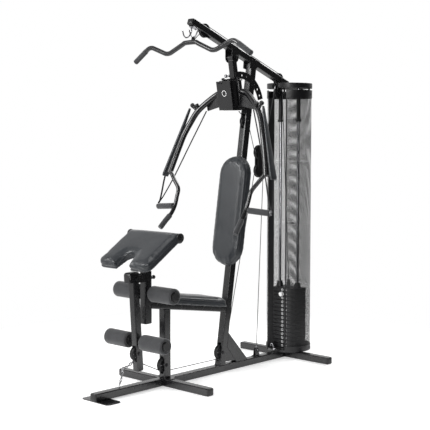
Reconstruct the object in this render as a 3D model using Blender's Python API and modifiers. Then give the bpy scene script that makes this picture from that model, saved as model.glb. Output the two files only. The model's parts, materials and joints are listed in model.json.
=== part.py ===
"""Multi station home gym: a weight-stack gym with press arms, lat bar, curl pad and leg lever.

Metres, +Z up. -Y is the front, where the seated user faces, and +Y is the weight stack's side.
Left and right are as seen from the front, so the right is +X.
The origin is on the floor, under the main rail at the foot of the leaning main post.
"""
import math

import bmesh
import bpy
from mathutils import Matrix, Vector

# ---------------------------------------------------------------- driving dimensions
GAP = 0.0003                  # clearance left between touching pieces
WALL = 0.002                  # steel tube wall
TUBE = 0.050                  # width of the frame tubes
RAIL_H = 0.045                # height of the floor rails
STABILIZER_HALF = 0.370
FRONT_STABILIZER_Y = -0.462
REAR_STABILIZER_Y = 0.650
FOOT_FRONT_Y = -1.000
FOOT_PLATE_T = 0.004

POST_FOOT_Y = 0.012           # where the post axis meets the floor
POST_LEAN = math.radians(8.8)
BEAM_TIP_Y = -0.215
BEAM_END_Y = 0.655
BEAM_TOP_Z = 2.144            # upper face of the beam at BEAM_DATUM_Y
BEAM_DATUM_Y = -0.201
BEAM_SLOPE = math.radians(20.6)
BEAM_H = 0.040

SEAT_POST_Y = -0.456
SEAT_TUBE_LOW = 0.3747        # underside of the seat tube, measured up the post
SEAT_TUBE_H = 0.038
SEAT_PAD_T = 0.050
BACK_PAD_T = 0.056
BACK_PAD_HALF = 0.118
BACK_PAD_LOW, BACK_PAD_HIGH = 0.663, 1.349   # measured up the post

MAST_Y = -0.606               # vertical receiver at the front of the seat tube
MAST_LOW, MAST_HIGH = 0.390, 0.690
CURL_TUBE = 0.044
CURL_PIN_PARKED = CURL_TUBE / 2 + 0.0006   # pulled-out pin's tip, behind the curl post
CURL_SLOPE = math.radians(33)
CURL_HALF = 0.210
CURL_LENGTH = 0.295
CURL_T = 0.050
CURL_CENTRE = Vector((0, -0.6657, 0.8117))
CURL_ROLL_R = 0.033           # bolster along the pad's upper edge, level with its face
CURL_ROLL_UP = 0.1535         # from the pad's centre, up the slope

LEG_PIVOT = Vector((0, -0.700, 0.655))
LEG_LEAN = math.radians(3.5)
LEG_TUBE = 0.045
LEG_LENGTH = 0.530
ROLLER_R = 0.046
ROLLER_IN, ROLLER_OUT = 0.056, 0.240
BAR_R = 0.0125
UPPER_BAR = Vector((0, MAST_Y, 0.565))
LOWER_BAR_DOWN = 0.362        # below the leg pivot, along the lever

PRESS_PIVOT = Vector((0, 0.125, 1.945))
PRESS_LEAN = math.radians(10)
ADJUST_DOWN = 0.300           # lever pivot to adjusting bolt
PIN_RADIUS = 0.190            # adjusting bolt to the locking holes
ADJUST_BORE = 0.0084          # round the 8 mm adjusting bolt and hinge pins
PIN_BORE = 0.0060
PIN_PARKED = 0.022            # X of the pulled-out pin's tip, just short of the quadrant
FLY_X, FLY_FORWARD = 0.062, 0.035

STACK_Y = 0.690
SHROUD_R = 0.145
SHROUD_OPENING = math.radians(30)
SHROUD_FLANGE = 0.038
SHROUD_LOW, SHROUD_HIGH = 0.0603, 1.7150
BASE_TOP = 0.0597
CAP_LOW, CAP_HIGH = 1.7775, 1.8095
ROD_X, ROD_R = 0.075, 0.0095
PLATE_W, PLATE_D, PLATE_PITCH = 0.204, 0.128, 0.0267
PLATES_BELOW, PLATES_LIFTED = 13, 2
STEM_R = 0.010

PULLEY_R, PULLEY_W = 0.046, 0.020
SMALL_PULLEY_R = 0.036
BEAM_PULLEY_R = 0.042
BOLT_R = 0.005
CABLE_R = 0.0022
GROOVE = 0.005                # cable centre lies this far inside a pulley's rim
LAT_BAR_R = 0.0140
LAT_BAR_Y = -0.240

# ---------------------------------------------------------------- scene and materials
for old in list(bpy.data.objects):
    bpy.data.objects.remove(old, do_unlink=True)
PARTS = bpy.data.collections.new("multi_station_home_gym")
CUTTERS = bpy.data.collections.new("cutters")
for collection in (PARTS, CUTTERS):
    bpy.context.scene.collection.children.link(collection)

LOOKS = {
    "black_steel": ((0.018, 0.018, 0.020), 0.28, 0.0),
    "chrome": ((0.80, 0.80, 0.82), 0.12, 1.0),
    "vinyl": ((0.055, 0.060, 0.066), 0.48, 0.0),
    "foam": ((0.050, 0.052, 0.056), 0.90, 0.0),
    "black_plastic": ((0.015, 0.015, 0.016), 0.45, 0.0),
    "mesh_steel": ((0.014, 0.014, 0.015), 0.50, 0.0),
    "plate_iron": ((0.020, 0.020, 0.022), 0.55, 0.0),
    "cable": ((0.030, 0.030, 0.032), 0.40, 0.0),
}


def material(name):
    """Return the named Principled material, made on its first use."""
    if name in bpy.data.materials:
        return bpy.data.materials[name]
    colour, roughness, metallic = LOOKS[name]
    made = bpy.data.materials.new(name)
    made.use_nodes = True
    shader = made.node_tree.nodes["Principled BSDF"]
    shader.inputs["Base Color"].default_value = (*colour, 1.0)
    shader.inputs["Roughness"].default_value = roughness
    shader.inputs["Metallic"].default_value = metallic
    return made


def register(name, data, look):
    """Link a new object holding data, as a part or, without a look, as a cutter."""
    made = bpy.data.objects.new(name, data)
    if look is None:
        CUTTERS.objects.link(made)
        made.hide_render = True
        made.display_type = "WIRE"
    else:
        PARTS.objects.link(made)
        data.materials.append(material(look))
    return made


# ---------------------------------------------------------------- shape helpers
def frame_along(direction, across=Vector((1, 0, 0))):
    """Rotation whose local Z lies along direction and local X near across."""
    z_axis = Vector(direction).normalized()
    y_axis = z_axis.cross(across).normalized()
    x_axis = y_axis.cross(z_axis)
    return Matrix((x_axis, y_axis, z_axis)).transposed().to_4x4()


def add_spline(curve, points, closed=True):
    """Add a straight-sided spline through 2D or 3D points."""
    spline = curve.splines.new("POLY")
    spline.points.add(len(points) - 1)
    for target, point in zip(spline.points, points):
        x, y, *z = point
        target.co = (x, y, z[0] if z else 0.0, 1.0)
    spline.use_cyclic_u = closed


def arc(centre, radius, start, stop, steps):
    """Points of a circular arc, angles in radians."""
    angles = [start + (stop - start) * i / steps for i in range(steps + 1)]
    return [(centre[0] + radius * math.cos(a), centre[1] + radius * math.sin(a)) for a in angles]


def ring(radius, centre=(0, 0), sides=16):
    """A full circle of points, for a round hole."""
    return arc(centre, radius, 0, 2 * math.pi * (1 - 1 / sides), sides - 1)


def rounded_rectangle(width, height, radius, steps=3):
    """Outline of a rectangle with round corners, centred on the origin."""
    points = []
    corners = ((1, 1, 0), (-1, 1, 90), (-1, -1, 180), (1, -1, 270))
    for sx, sy, turn in corners:
        centre = (sx * (width / 2 - radius), sy * (height / 2 - radius))
        start = math.radians(turn)
        points += arc(centre, radius, start, start + math.pi / 2, steps)
    return points


def extrusion(name, outlines, thickness, matrix, look):
    """A flat outline, with any holes, extruded evenly to both sides of its plane."""
    curve = bpy.data.curves.new(name, "CURVE")
    curve.dimensions = "2D"
    curve.fill_mode = "BOTH"
    curve.extrude = thickness / 2
    for outline in outlines:
        add_spline(curve, outline)
    made = register(name, curve, look)
    made.matrix_world = matrix
    return made


def to_mesh(obj):
    """Turn a curve, or an object with modifiers, into a welded mesh object."""
    bpy.context.view_layer.update()
    evaluated = obj.evaluated_get(bpy.context.evaluated_depsgraph_get())
    mesh = bpy.data.meshes.new_from_object(evaluated)
    work = bmesh.new()
    work.from_mesh(mesh)
    bmesh.ops.remove_doubles(work, verts=work.verts, dist=1e-6)
    bmesh.ops.recalc_face_normals(work, faces=work.faces)
    work.to_mesh(mesh)
    work.free()
    name, matrix = obj.name, obj.matrix_world.copy()
    home = obj.users_collection[0]
    hidden, display = obj.hide_render, obj.display_type
    bpy.data.objects.remove(obj, do_unlink=True)
    made = bpy.data.objects.new(name, mesh)
    made.matrix_world = matrix
    made.hide_render = hidden
    made.display_type = display
    home.objects.link(made)
    return made


def cut(target, cutter, operation="DIFFERENCE"):
    """Add an exact Boolean of cutter to target."""
    modifier = target.modifiers.new(cutter.name, "BOOLEAN")
    modifier.object = cutter
    modifier.operation = operation
    modifier.solver = "EXACT"
    return target


def square_tube(name, start, end, width, height, look="black_steel", radius=0.006):
    """A hollow rectangular tube with open ends; width is along X."""
    start, end = Vector(start), Vector(end)
    matrix = Matrix.Translation((start + end) / 2) @ frame_along(end - start)
    inner = rounded_rectangle(width - 2 * WALL, height - 2 * WALL, radius - WALL)
    outlines = [rounded_rectangle(width, height, radius), inner]
    return to_mesh(extrusion(name, outlines, (end - start).length, matrix, look))


def box(name, size, centre, look, tilt=0.0, bevel=0.0):
    """A box turned about X by tilt, with optional rounded edges."""
    work = bmesh.new()
    bmesh.ops.create_cube(work, size=1.0)
    bmesh.ops.scale(work, vec=size, verts=work.verts)
    mesh = bpy.data.meshes.new(name)
    work.to_mesh(mesh)
    work.free()
    made = register(name, mesh, look)
    made.matrix_world = Matrix.Translation(centre) @ Matrix.Rotation(tilt, 4, "X")
    if bevel:
        rounding = made.modifiers.new("rounding", "BEVEL")
        rounding.width = bevel
        rounding.segments = 2
    return made


def cylinder(name, start, end, radius, look, sides=24, end_radius=None):
    """A straight solid cylinder or cone between two points."""
    start, end = Vector(start), Vector(end)
    work = bmesh.new()
    bmesh.ops.create_cone(work, cap_ends=True, segments=sides, radius1=radius,
                          radius2=radius if end_radius is None else end_radius,
                          depth=(end - start).length)
    mesh = bpy.data.meshes.new(name)
    work.to_mesh(mesh)
    work.free()
    mesh.shade_smooth()
    mesh.set_sharp_from_angle(angle=math.radians(40))
    made = register(name, mesh, look)
    across = Vector((1, 0, 0)) if abs((end - start).normalized().x) < 0.9 else Vector((0, 1, 0))
    made.matrix_world = Matrix.Translation((start + end) / 2) @ frame_along(end - start, across)
    return made


def cross_bolt(name, centre, half, radius, look=None, sides=12):
    """A bolt, or a bore's cutter, along X and centred on a point of the middle plane."""
    return cylinder(name, centre - half * X_AXIS, centre + half * X_AXIS, radius, look, sides)


def turned(name, profile, matrix, look, steps=16):
    """A turned piece: a closed profile of (radius, height) spun about local Z."""
    mesh = bpy.data.meshes.new(name)
    edges = [(i, (i + 1) % len(profile)) for i in range(len(profile))]
    mesh.from_pydata([(r, 0, z) for r, z in profile], edges, [])
    made = register(name, mesh, look)
    made.matrix_world = matrix
    screw = made.modifiers.new("turn", "SCREW")
    screw.steps = screw.render_steps = steps
    screw.use_merge_vertices = True
    screw.merge_threshold = 1e-5
    screw.use_smooth_shade = True
    return made


def smooth_path(points, spacing):
    """Points about spacing apart on a smooth curve through the given points."""
    knots = [Vector(p) for p in points]
    knots = [2 * knots[0] - knots[1]] + knots + [2 * knots[-1] - knots[-2]]
    path = []
    for a, b, c, d in zip(knots, knots[1:], knots[2:], knots[3:]):
        count = max(1, round((c - b).length / spacing))
        for i in range(count):
            t = i / count
            path.append(0.5 * (2 * b + (c - a) * t + (2 * a - 5 * b + 4 * c - d) * t * t
                               + (3 * b - a - 3 * c + d) * t ** 3))
    return path + [knots[-2]]


def tube_path(name, points, radius, look, resolution=2):
    """A round solid rod along a list of points."""
    curve = bpy.data.curves.new(name, "CURVE")
    curve.dimensions = "3D"
    curve.bevel_depth = radius
    curve.bevel_resolution = resolution
    curve.use_fill_caps = True
    add_spline(curve, [tuple(p) for p in points], closed=False)
    return register(name, curve, look)


def joined(name, pieces, look):
    """Boolean union of the pieces, as one mesh object with the given name."""
    base, *others = pieces
    for other in others:
        cut(base, other, "UNION")
    merged = to_mesh(base)
    merged.name = name
    for other in others:
        bpy.data.objects.remove(other, do_unlink=True)
    return merged


# ---------------------------------------------------------------- places on the frame
POST_UP = Vector((0, math.sin(POST_LEAN), math.cos(POST_LEAN)))
POST_FRONT = Vector((0, -math.cos(POST_LEAN), math.sin(POST_LEAN)))
BEAM_BACK = Vector((0, math.cos(BEAM_SLOPE), -math.sin(BEAM_SLOPE)))
BEAM_UP = Vector((0, math.sin(BEAM_SLOPE), math.cos(BEAM_SLOPE)))
X_AXIS = Vector((1, 0, 0))


def on_post(up, front=0.0, x=0.0):
    """A point measured up the post axis and forward of it, square to the post."""
    return Vector((x, POST_FOOT_Y, 0)) + up * POST_UP + front * POST_FRONT


def on_beam(y, above=0.0, x=0.0):
    """A point on the beam's axis at the given Y, raised square to the beam."""
    top = BEAM_TOP_Z - math.tan(BEAM_SLOPE) * (y - BEAM_DATUM_Y)
    return Vector((x, y, top)) + (above - BEAM_H / 2) * BEAM_UP


def on_press(front, up, x=0.0):
    """A point in the press lever's frame: origin at its pivot, tilted by its lean."""
    c, s = math.cos(PRESS_LEAN), math.sin(PRESS_LEAN)
    return PRESS_PIVOT + Vector((x, -front * c - up * s, -front * s + up * c))


def on_leg(down, front=0.0, x=0.0):
    """A point down the leg lever from its pivot."""
    c, s = math.cos(LEG_LEAN), math.sin(LEG_LEAN)
    return LEG_PIVOT + Vector((x, down * s - front * c, -down * c - front * s))


def side_plane(origin, lean=0.0):
    """Matrix of a plane square to X: local X runs to the rear, local Y runs up."""
    turn = Matrix(((0, 0, 1), (1, 0, 0), (0, 1, 0))).to_4x4()
    return Matrix.Translation(origin) @ Matrix.Rotation(lean, 4, "X") @ turn


# ---------------------------------------------------------------- base frame
def make_base():
    """Floor rails, stabilisers and the foot plate."""
    mid = RAIL_H / 2
    front, rear = FRONT_STABILIZER_Y + TUBE / 2 + GAP, REAR_STABILIZER_Y - TUBE / 2 - GAP
    square_tube("main_rail", (0, front, mid), (0, rear, mid), TUBE, RAIL_H)
    raised = mid + FOOT_PLATE_T + GAP
    foot_rear = FRONT_STABILIZER_Y - TUBE / 2 - GAP
    square_tube("foot_rail", (0, FOOT_FRONT_Y, raised), (0, foot_rear, raised), TUBE, RAIL_H)
    outline = rounded_rectangle(0.230, 0.105, 0.022)
    place = Matrix.Translation((0, FOOT_FRONT_Y + 0.055, FOOT_PLATE_T / 2))
    extrusion("foot_plate", [outline], FOOT_PLATE_T, place, "black_steel")
    for name, y in (("front_stabilizer", FRONT_STABILIZER_Y), ("rear_stabilizer", REAR_STABILIZER_Y)):
        length = Vector((STABILIZER_HALF, 0, 0))
        centre = Vector((0, y, mid))
        matrix = Matrix.Translation(centre) @ frame_along(length, Vector((0, 1, 0)))
        outlines = [rounded_rectangle(TUBE, RAIL_H, 0.006),
                    rounded_rectangle(TUBE - 2 * WALL, RAIL_H - 2 * WALL, 0.004)]
        extrusion(name, outlines, 2 * STABILIZER_HALF, matrix, "black_steel")
    foot = on_post(0.245, -TUBE / 2 - GAP)
    knee = on_post(0.158, -TUBE / 2 - GAP)
    heel = Vector((0, foot.y + 0.178, RAIL_H + GAP))
    outline = [(foot.y, foot.z), (knee.y, knee.z), (heel.y - 0.108, heel.z), (heel.y, heel.z)]
    brace = to_mesh(extrusion("brace_tube", [outline], 0.046, side_plane((0, 0, 0)), "black_steel"))
    web_low, web_top = (on_post(up, -TUBE / 2 - GAP) for up in (0.066, 0.170))
    outline = [(web_low.y, web_low.z), (web_top.y, web_top.z), (knee.y + 0.020, knee.z),
               (heel.y - 0.090, heel.z + 0.012), (heel.y - 0.120, heel.z + 0.012)]
    webs = [to_mesh(extrusion("brace_web", [outline], 0.003, side_plane((x, 0, 0)), "black_steel"))
            for x in (-0.0200, 0.0200)]
    brace = joined("post_brace", [brace] + webs, "black_steel")
    cut(brace, box("brace_slot", (0.012, 0.100, 0.300), foot + Vector((0, 0.005, 0.004)), None))


def make_posts():
    """The leaning main post, the seat post and the top beam, with their pulley slots."""
    top = on_beam(0.315, -BEAM_H / 2 - GAP)
    up_top = (top.z + 0.06) / math.cos(POST_LEAN)
    post = square_tube("main_post", on_post(0.0), on_post(up_top), TUBE, TUBE)
    cut(post, box("floor_trim", (0.2, 0.4, 0.2), (0, 0, RAIL_H + GAP - 0.1), None))
    over = on_beam(0.315, -BEAM_H / 2 - GAP + 0.1)
    cut(post, box("beam_trim", (0.2, 0.6, 0.2), over, None, -BEAM_SLOPE))
    slot_w = PULLEY_W + 0.004
    cut(post, box("low_slot", (slot_w, 0.09, 0.118), (0, 0.022, 0.124), None, -POST_LEAN))
    cut(post, box("cable_slot", (0.012, 0.030, 0.260), on_post(0.270, -0.030), None, -POST_LEAN))
    cut(post, box("upper_slot", (slot_w, 0.09, 0.092), POST_PULLEY, None, -POST_LEAN))
    bolts = (("low_axle", LOW_PULLEY), ("upper_axle", POST_PULLEY))
    for name, centre in bolts:
        cut(post, cross_bolt(name, centre, 0.031, BOLT_R), "UNION")

    beam = square_tube("top_beam", on_beam(BEAM_TIP_Y), on_beam(BEAM_END_Y), TUBE, BEAM_H)
    for name, centre in (("front_beam_slot", LAT_FRONT), ("rear_beam_slot", LAT_REAR + 0.010 * BEAM_BACK)):
        cut(beam, box(name, (slot_w, 0.116, 0.090), centre, None, -BEAM_SLOPE))
    for name, centre in (("front_beam_axle", LAT_FRONT), ("rear_beam_axle", LAT_REAR)):
        cut(beam, cross_bolt(name, centre, 0.031, BOLT_R), "UNION")

    seat = square_tube("seat_post", (0, SEAT_POST_Y, RAIL_H + GAP), (0, SEAT_POST_Y, 0.52), TUBE, TUBE)
    along = (POST_FOOT_Y - SEAT_POST_Y) / math.cos(POST_LEAN)
    over = on_post(SEAT_TUBE_LOW - GAP + 0.1, along)
    cut(seat, box("seat_trim", (0.2, 0.3, 0.2), over, None, -POST_LEAN))
    cut(seat, box("seat_slot", (slot_w, 0.09, 0.104), (0, SEAT_POST_Y - 0.01, SEAT_PULLEY.z), None))
    cut(seat, cross_bolt("seat_axle", SEAT_PULLEY, 0.031, BOLT_R), "UNION")


def make_seat_frame():
    """Seat tube, and the vertical receiver that carries the upper roller bar."""
    centre_up = SEAT_TUBE_LOW + SEAT_TUBE_H / 2
    front = (POST_FOOT_Y - MAST_Y) / math.cos(POST_LEAN) + 0.06
    tube = square_tube("seat_tube", on_post(centre_up, TUBE / 2 + GAP), on_post(centre_up, front),
                       TUBE, SEAT_TUBE_H)
    trim = (0, MAST_Y + TUBE / 2 + GAP - 0.1, 0.48)
    cut(tube, box("mast_trim", (0.2, 0.2, 0.3), trim, None))
    mast = square_tube("mast", (0, MAST_Y, MAST_LOW), (0, MAST_Y, MAST_HIGH), TUBE, TUBE)
    bar = cross_bolt("upper_bar", UPPER_BAR, ROLLER_OUT + 0.006, BAR_R, "black_steel", 16)
    mast = joined("curl_receiver", [mast, bar], "black_steel")
    pin = Vector((0, MAST_Y, 0.650))
    cut(mast, cylinder("receiver_pin_hole", pin, pin + Vector((0, 0.06, 0)), 0.0055, None, 16))


def make_pads():
    """Seat, back and curl pads as plain closed solids."""
    bottom = SEAT_TUBE_LOW + SEAT_TUBE_H + GAP
    rear, front = 0.122, 0.622
    rear_half, front_half, corner = 0.128, 0.100, 0.030
    outline = []
    corners = ((rear_half, rear, -90), (front_half, front, 0),
               (-front_half, front, 90), (-rear_half, rear, 180))
    for x, along, turn in corners:
        centre = (x - math.copysign(corner, x), along + (corner if along == rear else -corner))
        start = math.radians(turn)
        outline += arc(centre, corner, start, start + math.pi / 2, 4)
    centre = on_post(bottom + SEAT_PAD_T / 2)
    axes = Matrix((X_AXIS, POST_FRONT, X_AXIS.cross(POST_FRONT))).transposed()
    matrix = Matrix.Translation(centre) @ axes.to_4x4()
    pad = to_mesh(extrusion("seat_pad", [outline], SEAT_PAD_T, matrix, "vinyl"))
    round_edges(pad, 0.010)

    half = (BACK_PAD_HIGH - BACK_PAD_LOW) / 2
    centre = on_post((BACK_PAD_HIGH + BACK_PAD_LOW) / 2, TUBE / 2 + GAP + BACK_PAD_T / 2)
    matrix = Matrix.Translation(centre) @ Matrix((X_AXIS, POST_UP, -POST_FRONT)).transposed().to_4x4()
    outline = arc((0, half - BACK_PAD_HALF), BACK_PAD_HALF, 0, math.pi, 14)
    outline += arc((0, BACK_PAD_HALF - half), BACK_PAD_HALF, math.pi, 2 * math.pi, 14)
    pad = to_mesh(extrusion("back_pad", [outline], BACK_PAD_T, matrix, "vinyl"))
    round_edges(pad, 0.012)

    tilt = Matrix.Rotation(CURL_SLOPE, 4, "X")
    matrix = Matrix.Translation(CURL_CENTRE) @ tilt
    half_l, notch_w, notch_d = CURL_LENGTH / 2, 0.045, 0.060
    outline = arc((CURL_HALF - 0.025, half_l - 0.025), 0.025, 0, math.pi / 2, 4)
    outline += arc((-CURL_HALF + 0.025, half_l - 0.025), 0.025, math.pi / 2, math.pi, 4)
    outline += arc((-CURL_HALF + 0.045, -half_l + 0.045), 0.045, math.pi, 1.5 * math.pi, 4)
    outline += [(-notch_w - 0.015, -half_l)]
    outline += arc((0, -half_l + notch_d), notch_w, math.pi, 0, 8)
    outline += [(notch_w + 0.015, -half_l)]
    outline += arc((CURL_HALF - 0.045, -half_l + 0.045), 0.045, 1.5 * math.pi, 2 * math.pi, 4)
    slab = to_mesh(extrusion("slab", [outline], CURL_T, matrix, "vinyl"))
    round_edges(slab, 0.010)
    middle = matrix @ Vector((0, CURL_ROLL_UP, CURL_T / 2 - CURL_ROLL_R))
    roll = cross_bolt("roll", middle, CURL_HALF - 0.001, CURL_ROLL_R, "vinyl", 20)
    joined("curl_pad", [to_mesh(slab), roll], "vinyl")


def round_edges(obj, width):
    """Bevel the sharp edges of a mesh object."""
    rounding = obj.modifiers.new("rounding", "BEVEL")
    rounding.width = width
    rounding.segments = 2
    rounding.limit_method = "ANGLE"
    rounding.angle_limit = math.radians(50)


# ---------------------------------------------------------------- pulleys
LOW_PULLEY = Vector((0, 0.018, 0.124))
SEAT_PULLEY = Vector((0, -0.468, 0.124))
POST_PULLEY = Vector((0, 0.243, 1.556))
LAT_FRONT = on_beam(-0.112)
LAT_REAR = on_beam(0.580)
BLOCK_HIGH = Vector((0, 0.385, 1.362))
BLOCK_LOW = Vector((0, 0.385, 1.246))
LEG_PULLEY = on_leg(0.430, 0.010)


def pulley(name, centre, radius):
    """A grooved pulley with a bore, its axle along X."""
    half, bore = PULLEY_W / 2, BOLT_R + 0.0004
    profile = [(bore, half), (radius, half), (radius, half - 0.0035), (radius - 0.008, 0.0030),
               (radius - 0.008, -0.0030), (radius, 0.0035 - half), (radius, -half), (bore, -half)]
    place = Matrix.Translation(centre) @ frame_along(X_AXIS, Vector((0, 1, 0)))
    turned(name, profile, place, "black_plastic")


def make_pulleys():
    """Every cable pulley, and the floating block that holds two of them."""
    pulley("lat_front_pulley", LAT_FRONT, BEAM_PULLEY_R)
    pulley("lat_rear_pulley", LAT_REAR, BEAM_PULLEY_R)
    pulley("post_upper_pulley", POST_PULLEY, SMALL_PULLEY_R)
    pulley("post_low_pulley", LOW_PULLEY, PULLEY_R)
    pulley("seat_post_pulley", SEAT_PULLEY, PULLEY_R)
    pulley("leg_pulley", LEG_PULLEY, PULLEY_R - 0.004)
    pulley("block_upper_pulley", BLOCK_HIGH, PULLEY_R)
    pulley("block_lower_pulley", BLOCK_LOW, PULLEY_R)
    half = (BLOCK_HIGH.z - BLOCK_LOW.z) / 2
    outline = arc((0, half), 0.034, math.radians(-40), math.radians(220), 12)
    outline += arc((0, -half), 0.034, math.radians(140), math.radians(400), 12)
    centre = (BLOCK_HIGH + BLOCK_LOW) / 2
    pieces = []
    for side in (-1, 1):
        offset = side * (PULLEY_W / 2 + 0.003)
        matrix = side_plane(centre + offset * X_AXIS)
        pieces.append(to_mesh(extrusion(f"block_cheek_{side}", [outline], 0.004, matrix, "black_plastic")))
    for pin in (BLOCK_HIGH, BLOCK_LOW):
        pieces.append(cross_bolt("block_bolt", pin, 0.019, BOLT_R, "black_plastic"))
    joined("block_frame", pieces, "black_plastic")


# ---------------------------------------------------------------- weight stack
def c_outline(outer, inner, flange):
    """A C-shaped wall seen from above, open to the front, with optional inward flanges."""
    start, stop = -math.pi / 2 + SHROUD_OPENING, 1.5 * math.pi - SHROUD_OPENING
    outside = arc((0, 0), outer, start, stop, 32)
    inside = arc((0, 0), inner, stop, start, 32)
    if not flange:
        return outside + inside
    edge = math.asin((outer - inner) / outer)
    tip = outer - flange
    tips = [[(tip * math.cos(a), tip * math.sin(a)) for a in (stop, stop - edge * outer / tip)],
            [(tip * math.cos(a), tip * math.sin(a)) for a in (start + edge * outer / tip, start)]]
    inside = arc((0, 0), inner, stop - edge, start + edge, 32)
    return outside + tips[0] + inside + tips[1]


def make_shroud():
    """Round mesh shroud with its rings, base, cap and guide rods."""
    place = Matrix.Translation((0, STACK_Y, (SHROUD_LOW + SHROUD_HIGH) / 2))
    wall = c_outline(SHROUD_R, SHROUD_R - 0.0015, SHROUD_FLANGE)
    extrusion("shroud", [wall], SHROUD_HIGH - SHROUD_LOW, place, "mesh_steel")
    ring = c_outline(SHROUD_R + 0.0038, SHROUD_R + 0.0006, 0)
    for name, low, high in (("shroud_top_ring", 1.713, 1.765), ("shroud_bottom_ring", 0.047, 0.084)):
        place = Matrix.Translation((0, STACK_Y, (low + high) / 2))
        extrusion(name, [ring], high - low, place, "black_plastic")
    low = RAIL_H + GAP
    cylinder("stack_base", (0, STACK_Y, low), (0, STACK_Y, BASE_TOP), SHROUD_R, "black_steel", 48)
    low, high = Vector((0, STACK_Y, CAP_LOW)), Vector((0, STACK_Y, CAP_HIGH))
    cap = cylinder("stack_cap", low, high, SHROUD_R + 0.0038, "black_plastic", 48)
    front = STACK_Y - 0.2
    slot = Vector((0, (front + BEAM_END_Y + 0.001) / 2, (CAP_LOW + CAP_HIGH) / 2))
    cut(cap, box("cap_slot", (TUBE + 0.001, BEAM_END_Y + 0.001 - front, 0.2), slot, None))
    for side, name in ((-1, "guide_rod_left"), (1, "guide_rod_right")):
        foot = Vector((side * ROD_X, STACK_Y, BASE_TOP + GAP))
        cylinder(name, foot, (foot.x, foot.y, CAP_LOW - GAP), ROD_R, "chrome", 20)


def make_stack():
    """The plates left resting, and the lifted plates with their stem and selector pin."""
    low = BASE_TOP + GAP
    split = low + PLATES_BELOW * PLATE_PITCH
    high = split + PLATES_LIFTED * PLATE_PITCH
    blocks = (("weight_plates", low, split - GAP), ("lifted_plates", split + GAP, high))
    for name, bottom, top in blocks:
        outline = rounded_rectangle(PLATE_W, PLATE_D, 0.012)
        holes = [ring(ROD_R + 0.0012, (side * ROD_X, 0), 20) for side in (-1, 1)]
        if name == "weight_plates":
            holes.append(ring(STEM_R + 0.0015, (0, 0), 20))
        place = Matrix.Translation((0, STACK_Y, (bottom + top) / 2))
        block = to_mesh(extrusion(name, [outline] + holes, top - bottom, place, "plate_iron"))
    pin_z = split + PLATE_PITCH / 2
    stem = cylinder("stem", (0, STACK_Y, low + 0.02), (0, STACK_Y, high + 0.055), STEM_R, None, 20)
    cut(block, stem, "UNION")
    tip = Vector((0, STACK_Y - 0.0045, pin_z))
    hole_end = tip + Vector((0, 0.0005, 0))
    cut(block, cylinder("pin_hole", hole_end - Vector((0, 0.1, 0)), hole_end, 0.0055, None, 16))
    knob = PLATE_D / 2 - 0.0035
    profile = [(0.0, 0.0), (0.0045, 0.001), (0.0048, 0.003), (0.0048, knob), (0.0150, knob + 0.0005),
               (0.0150, knob + 0.020), (0.0130, knob + 0.024), (0.0, knob + 0.0245)]
    spin_profile("selector_pin", profile, tip, Vector((0, -1, 0)), "black_plastic")


def spin_profile(name, profile, start, direction, look, steps=14):
    """A solid of revolution from (radius, distance) pairs, both ends on the axis."""
    mesh = bpy.data.meshes.new(name)
    points = [(r, 0, z) for r, z in reversed(profile)]
    mesh.from_pydata(points, [(i, i + 1) for i in range(len(points) - 1)], [])
    made = register(name, mesh, look)
    across = X_AXIS if abs(direction.x) < 0.9 else Vector((0, 1, 0))
    made.matrix_world = Matrix.Translation(start) @ frame_along(direction, across)
    screw = made.modifiers.new("turn", "SCREW")
    screw.steps = screw.render_steps = steps
    screw.use_merge_vertices = True
    screw.merge_threshold = 1e-5
    screw.use_smooth_shade = True
    return made


# ---------------------------------------------------------------- press station
def make_press_mount():
    """Bracket and axle under the beam that carry the press lever."""
    pieces = []
    pivot = on_beam(PRESS_PIVOT.y)
    drop = pivot.z - PRESS_PIVOT.z
    for side in (-1, 1):
        origin = PRESS_PIVOT + side * (TUBE / 2 + GAP + 0.002) * X_AXIS
        outline = arc((0, 0), 0.030, math.pi, 2 * math.pi, 12)
        outline += [(0.030, drop + 0.004), (-0.030, drop + 0.026)]
        pieces.append(to_mesh(extrusion("ear", [outline], 0.004, side_plane(origin), "black_steel")))
    axle = cross_bolt("axle", PRESS_PIVOT, 0.036, 0.008, "black_steel", 16)
    joined("press_bracket", pieces + [axle], "black_steel")


def make_press_lever():
    """Upper lever: bearing housing, square tube and the adjusting bolt."""
    bearing = cross_bolt("bearing", PRESS_PIVOT, 0.0245, 0.021, "black_steel", 24)
    tube = box("lever_tube", (0.040, 0.040, 0.312), on_press(0, -0.168), "black_steel", PRESS_LEAN, 0.004)
    bolt = cross_bolt("adjust_bolt", on_press(0, -ADJUST_DOWN), 0.036, 0.008, "black_steel", 16)
    lever = joined("press_lever", [to_mesh(tube), bearing, bolt], "black_steel")
    cut(lever, cross_bolt("lever_bore", PRESS_PIVOT, 0.04, ADJUST_BORE, None, 16))
    pin_at = on_press(0, PIN_RADIUS - ADJUST_DOWN)
    cut(lever, cross_bolt("lever_pin_hole", pin_at, 0.04, PIN_BORE, None, 16))
    profile = [(0.0, 0.0), (0.0045, 0.002), (0.0050, 0.005), (0.0050, 0.0508), (0.0110, 0.0510),
               (0.0110, 0.070), (0.0060, 0.074), (0.0060, 0.084), (0.0120, 0.086), (0.0120, 0.098),
               (0.0, 0.099)]
    spin_profile("press_pin", profile, pin_at + PIN_PARKED * X_AXIS, -X_AXIS, "chrome")


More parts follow.
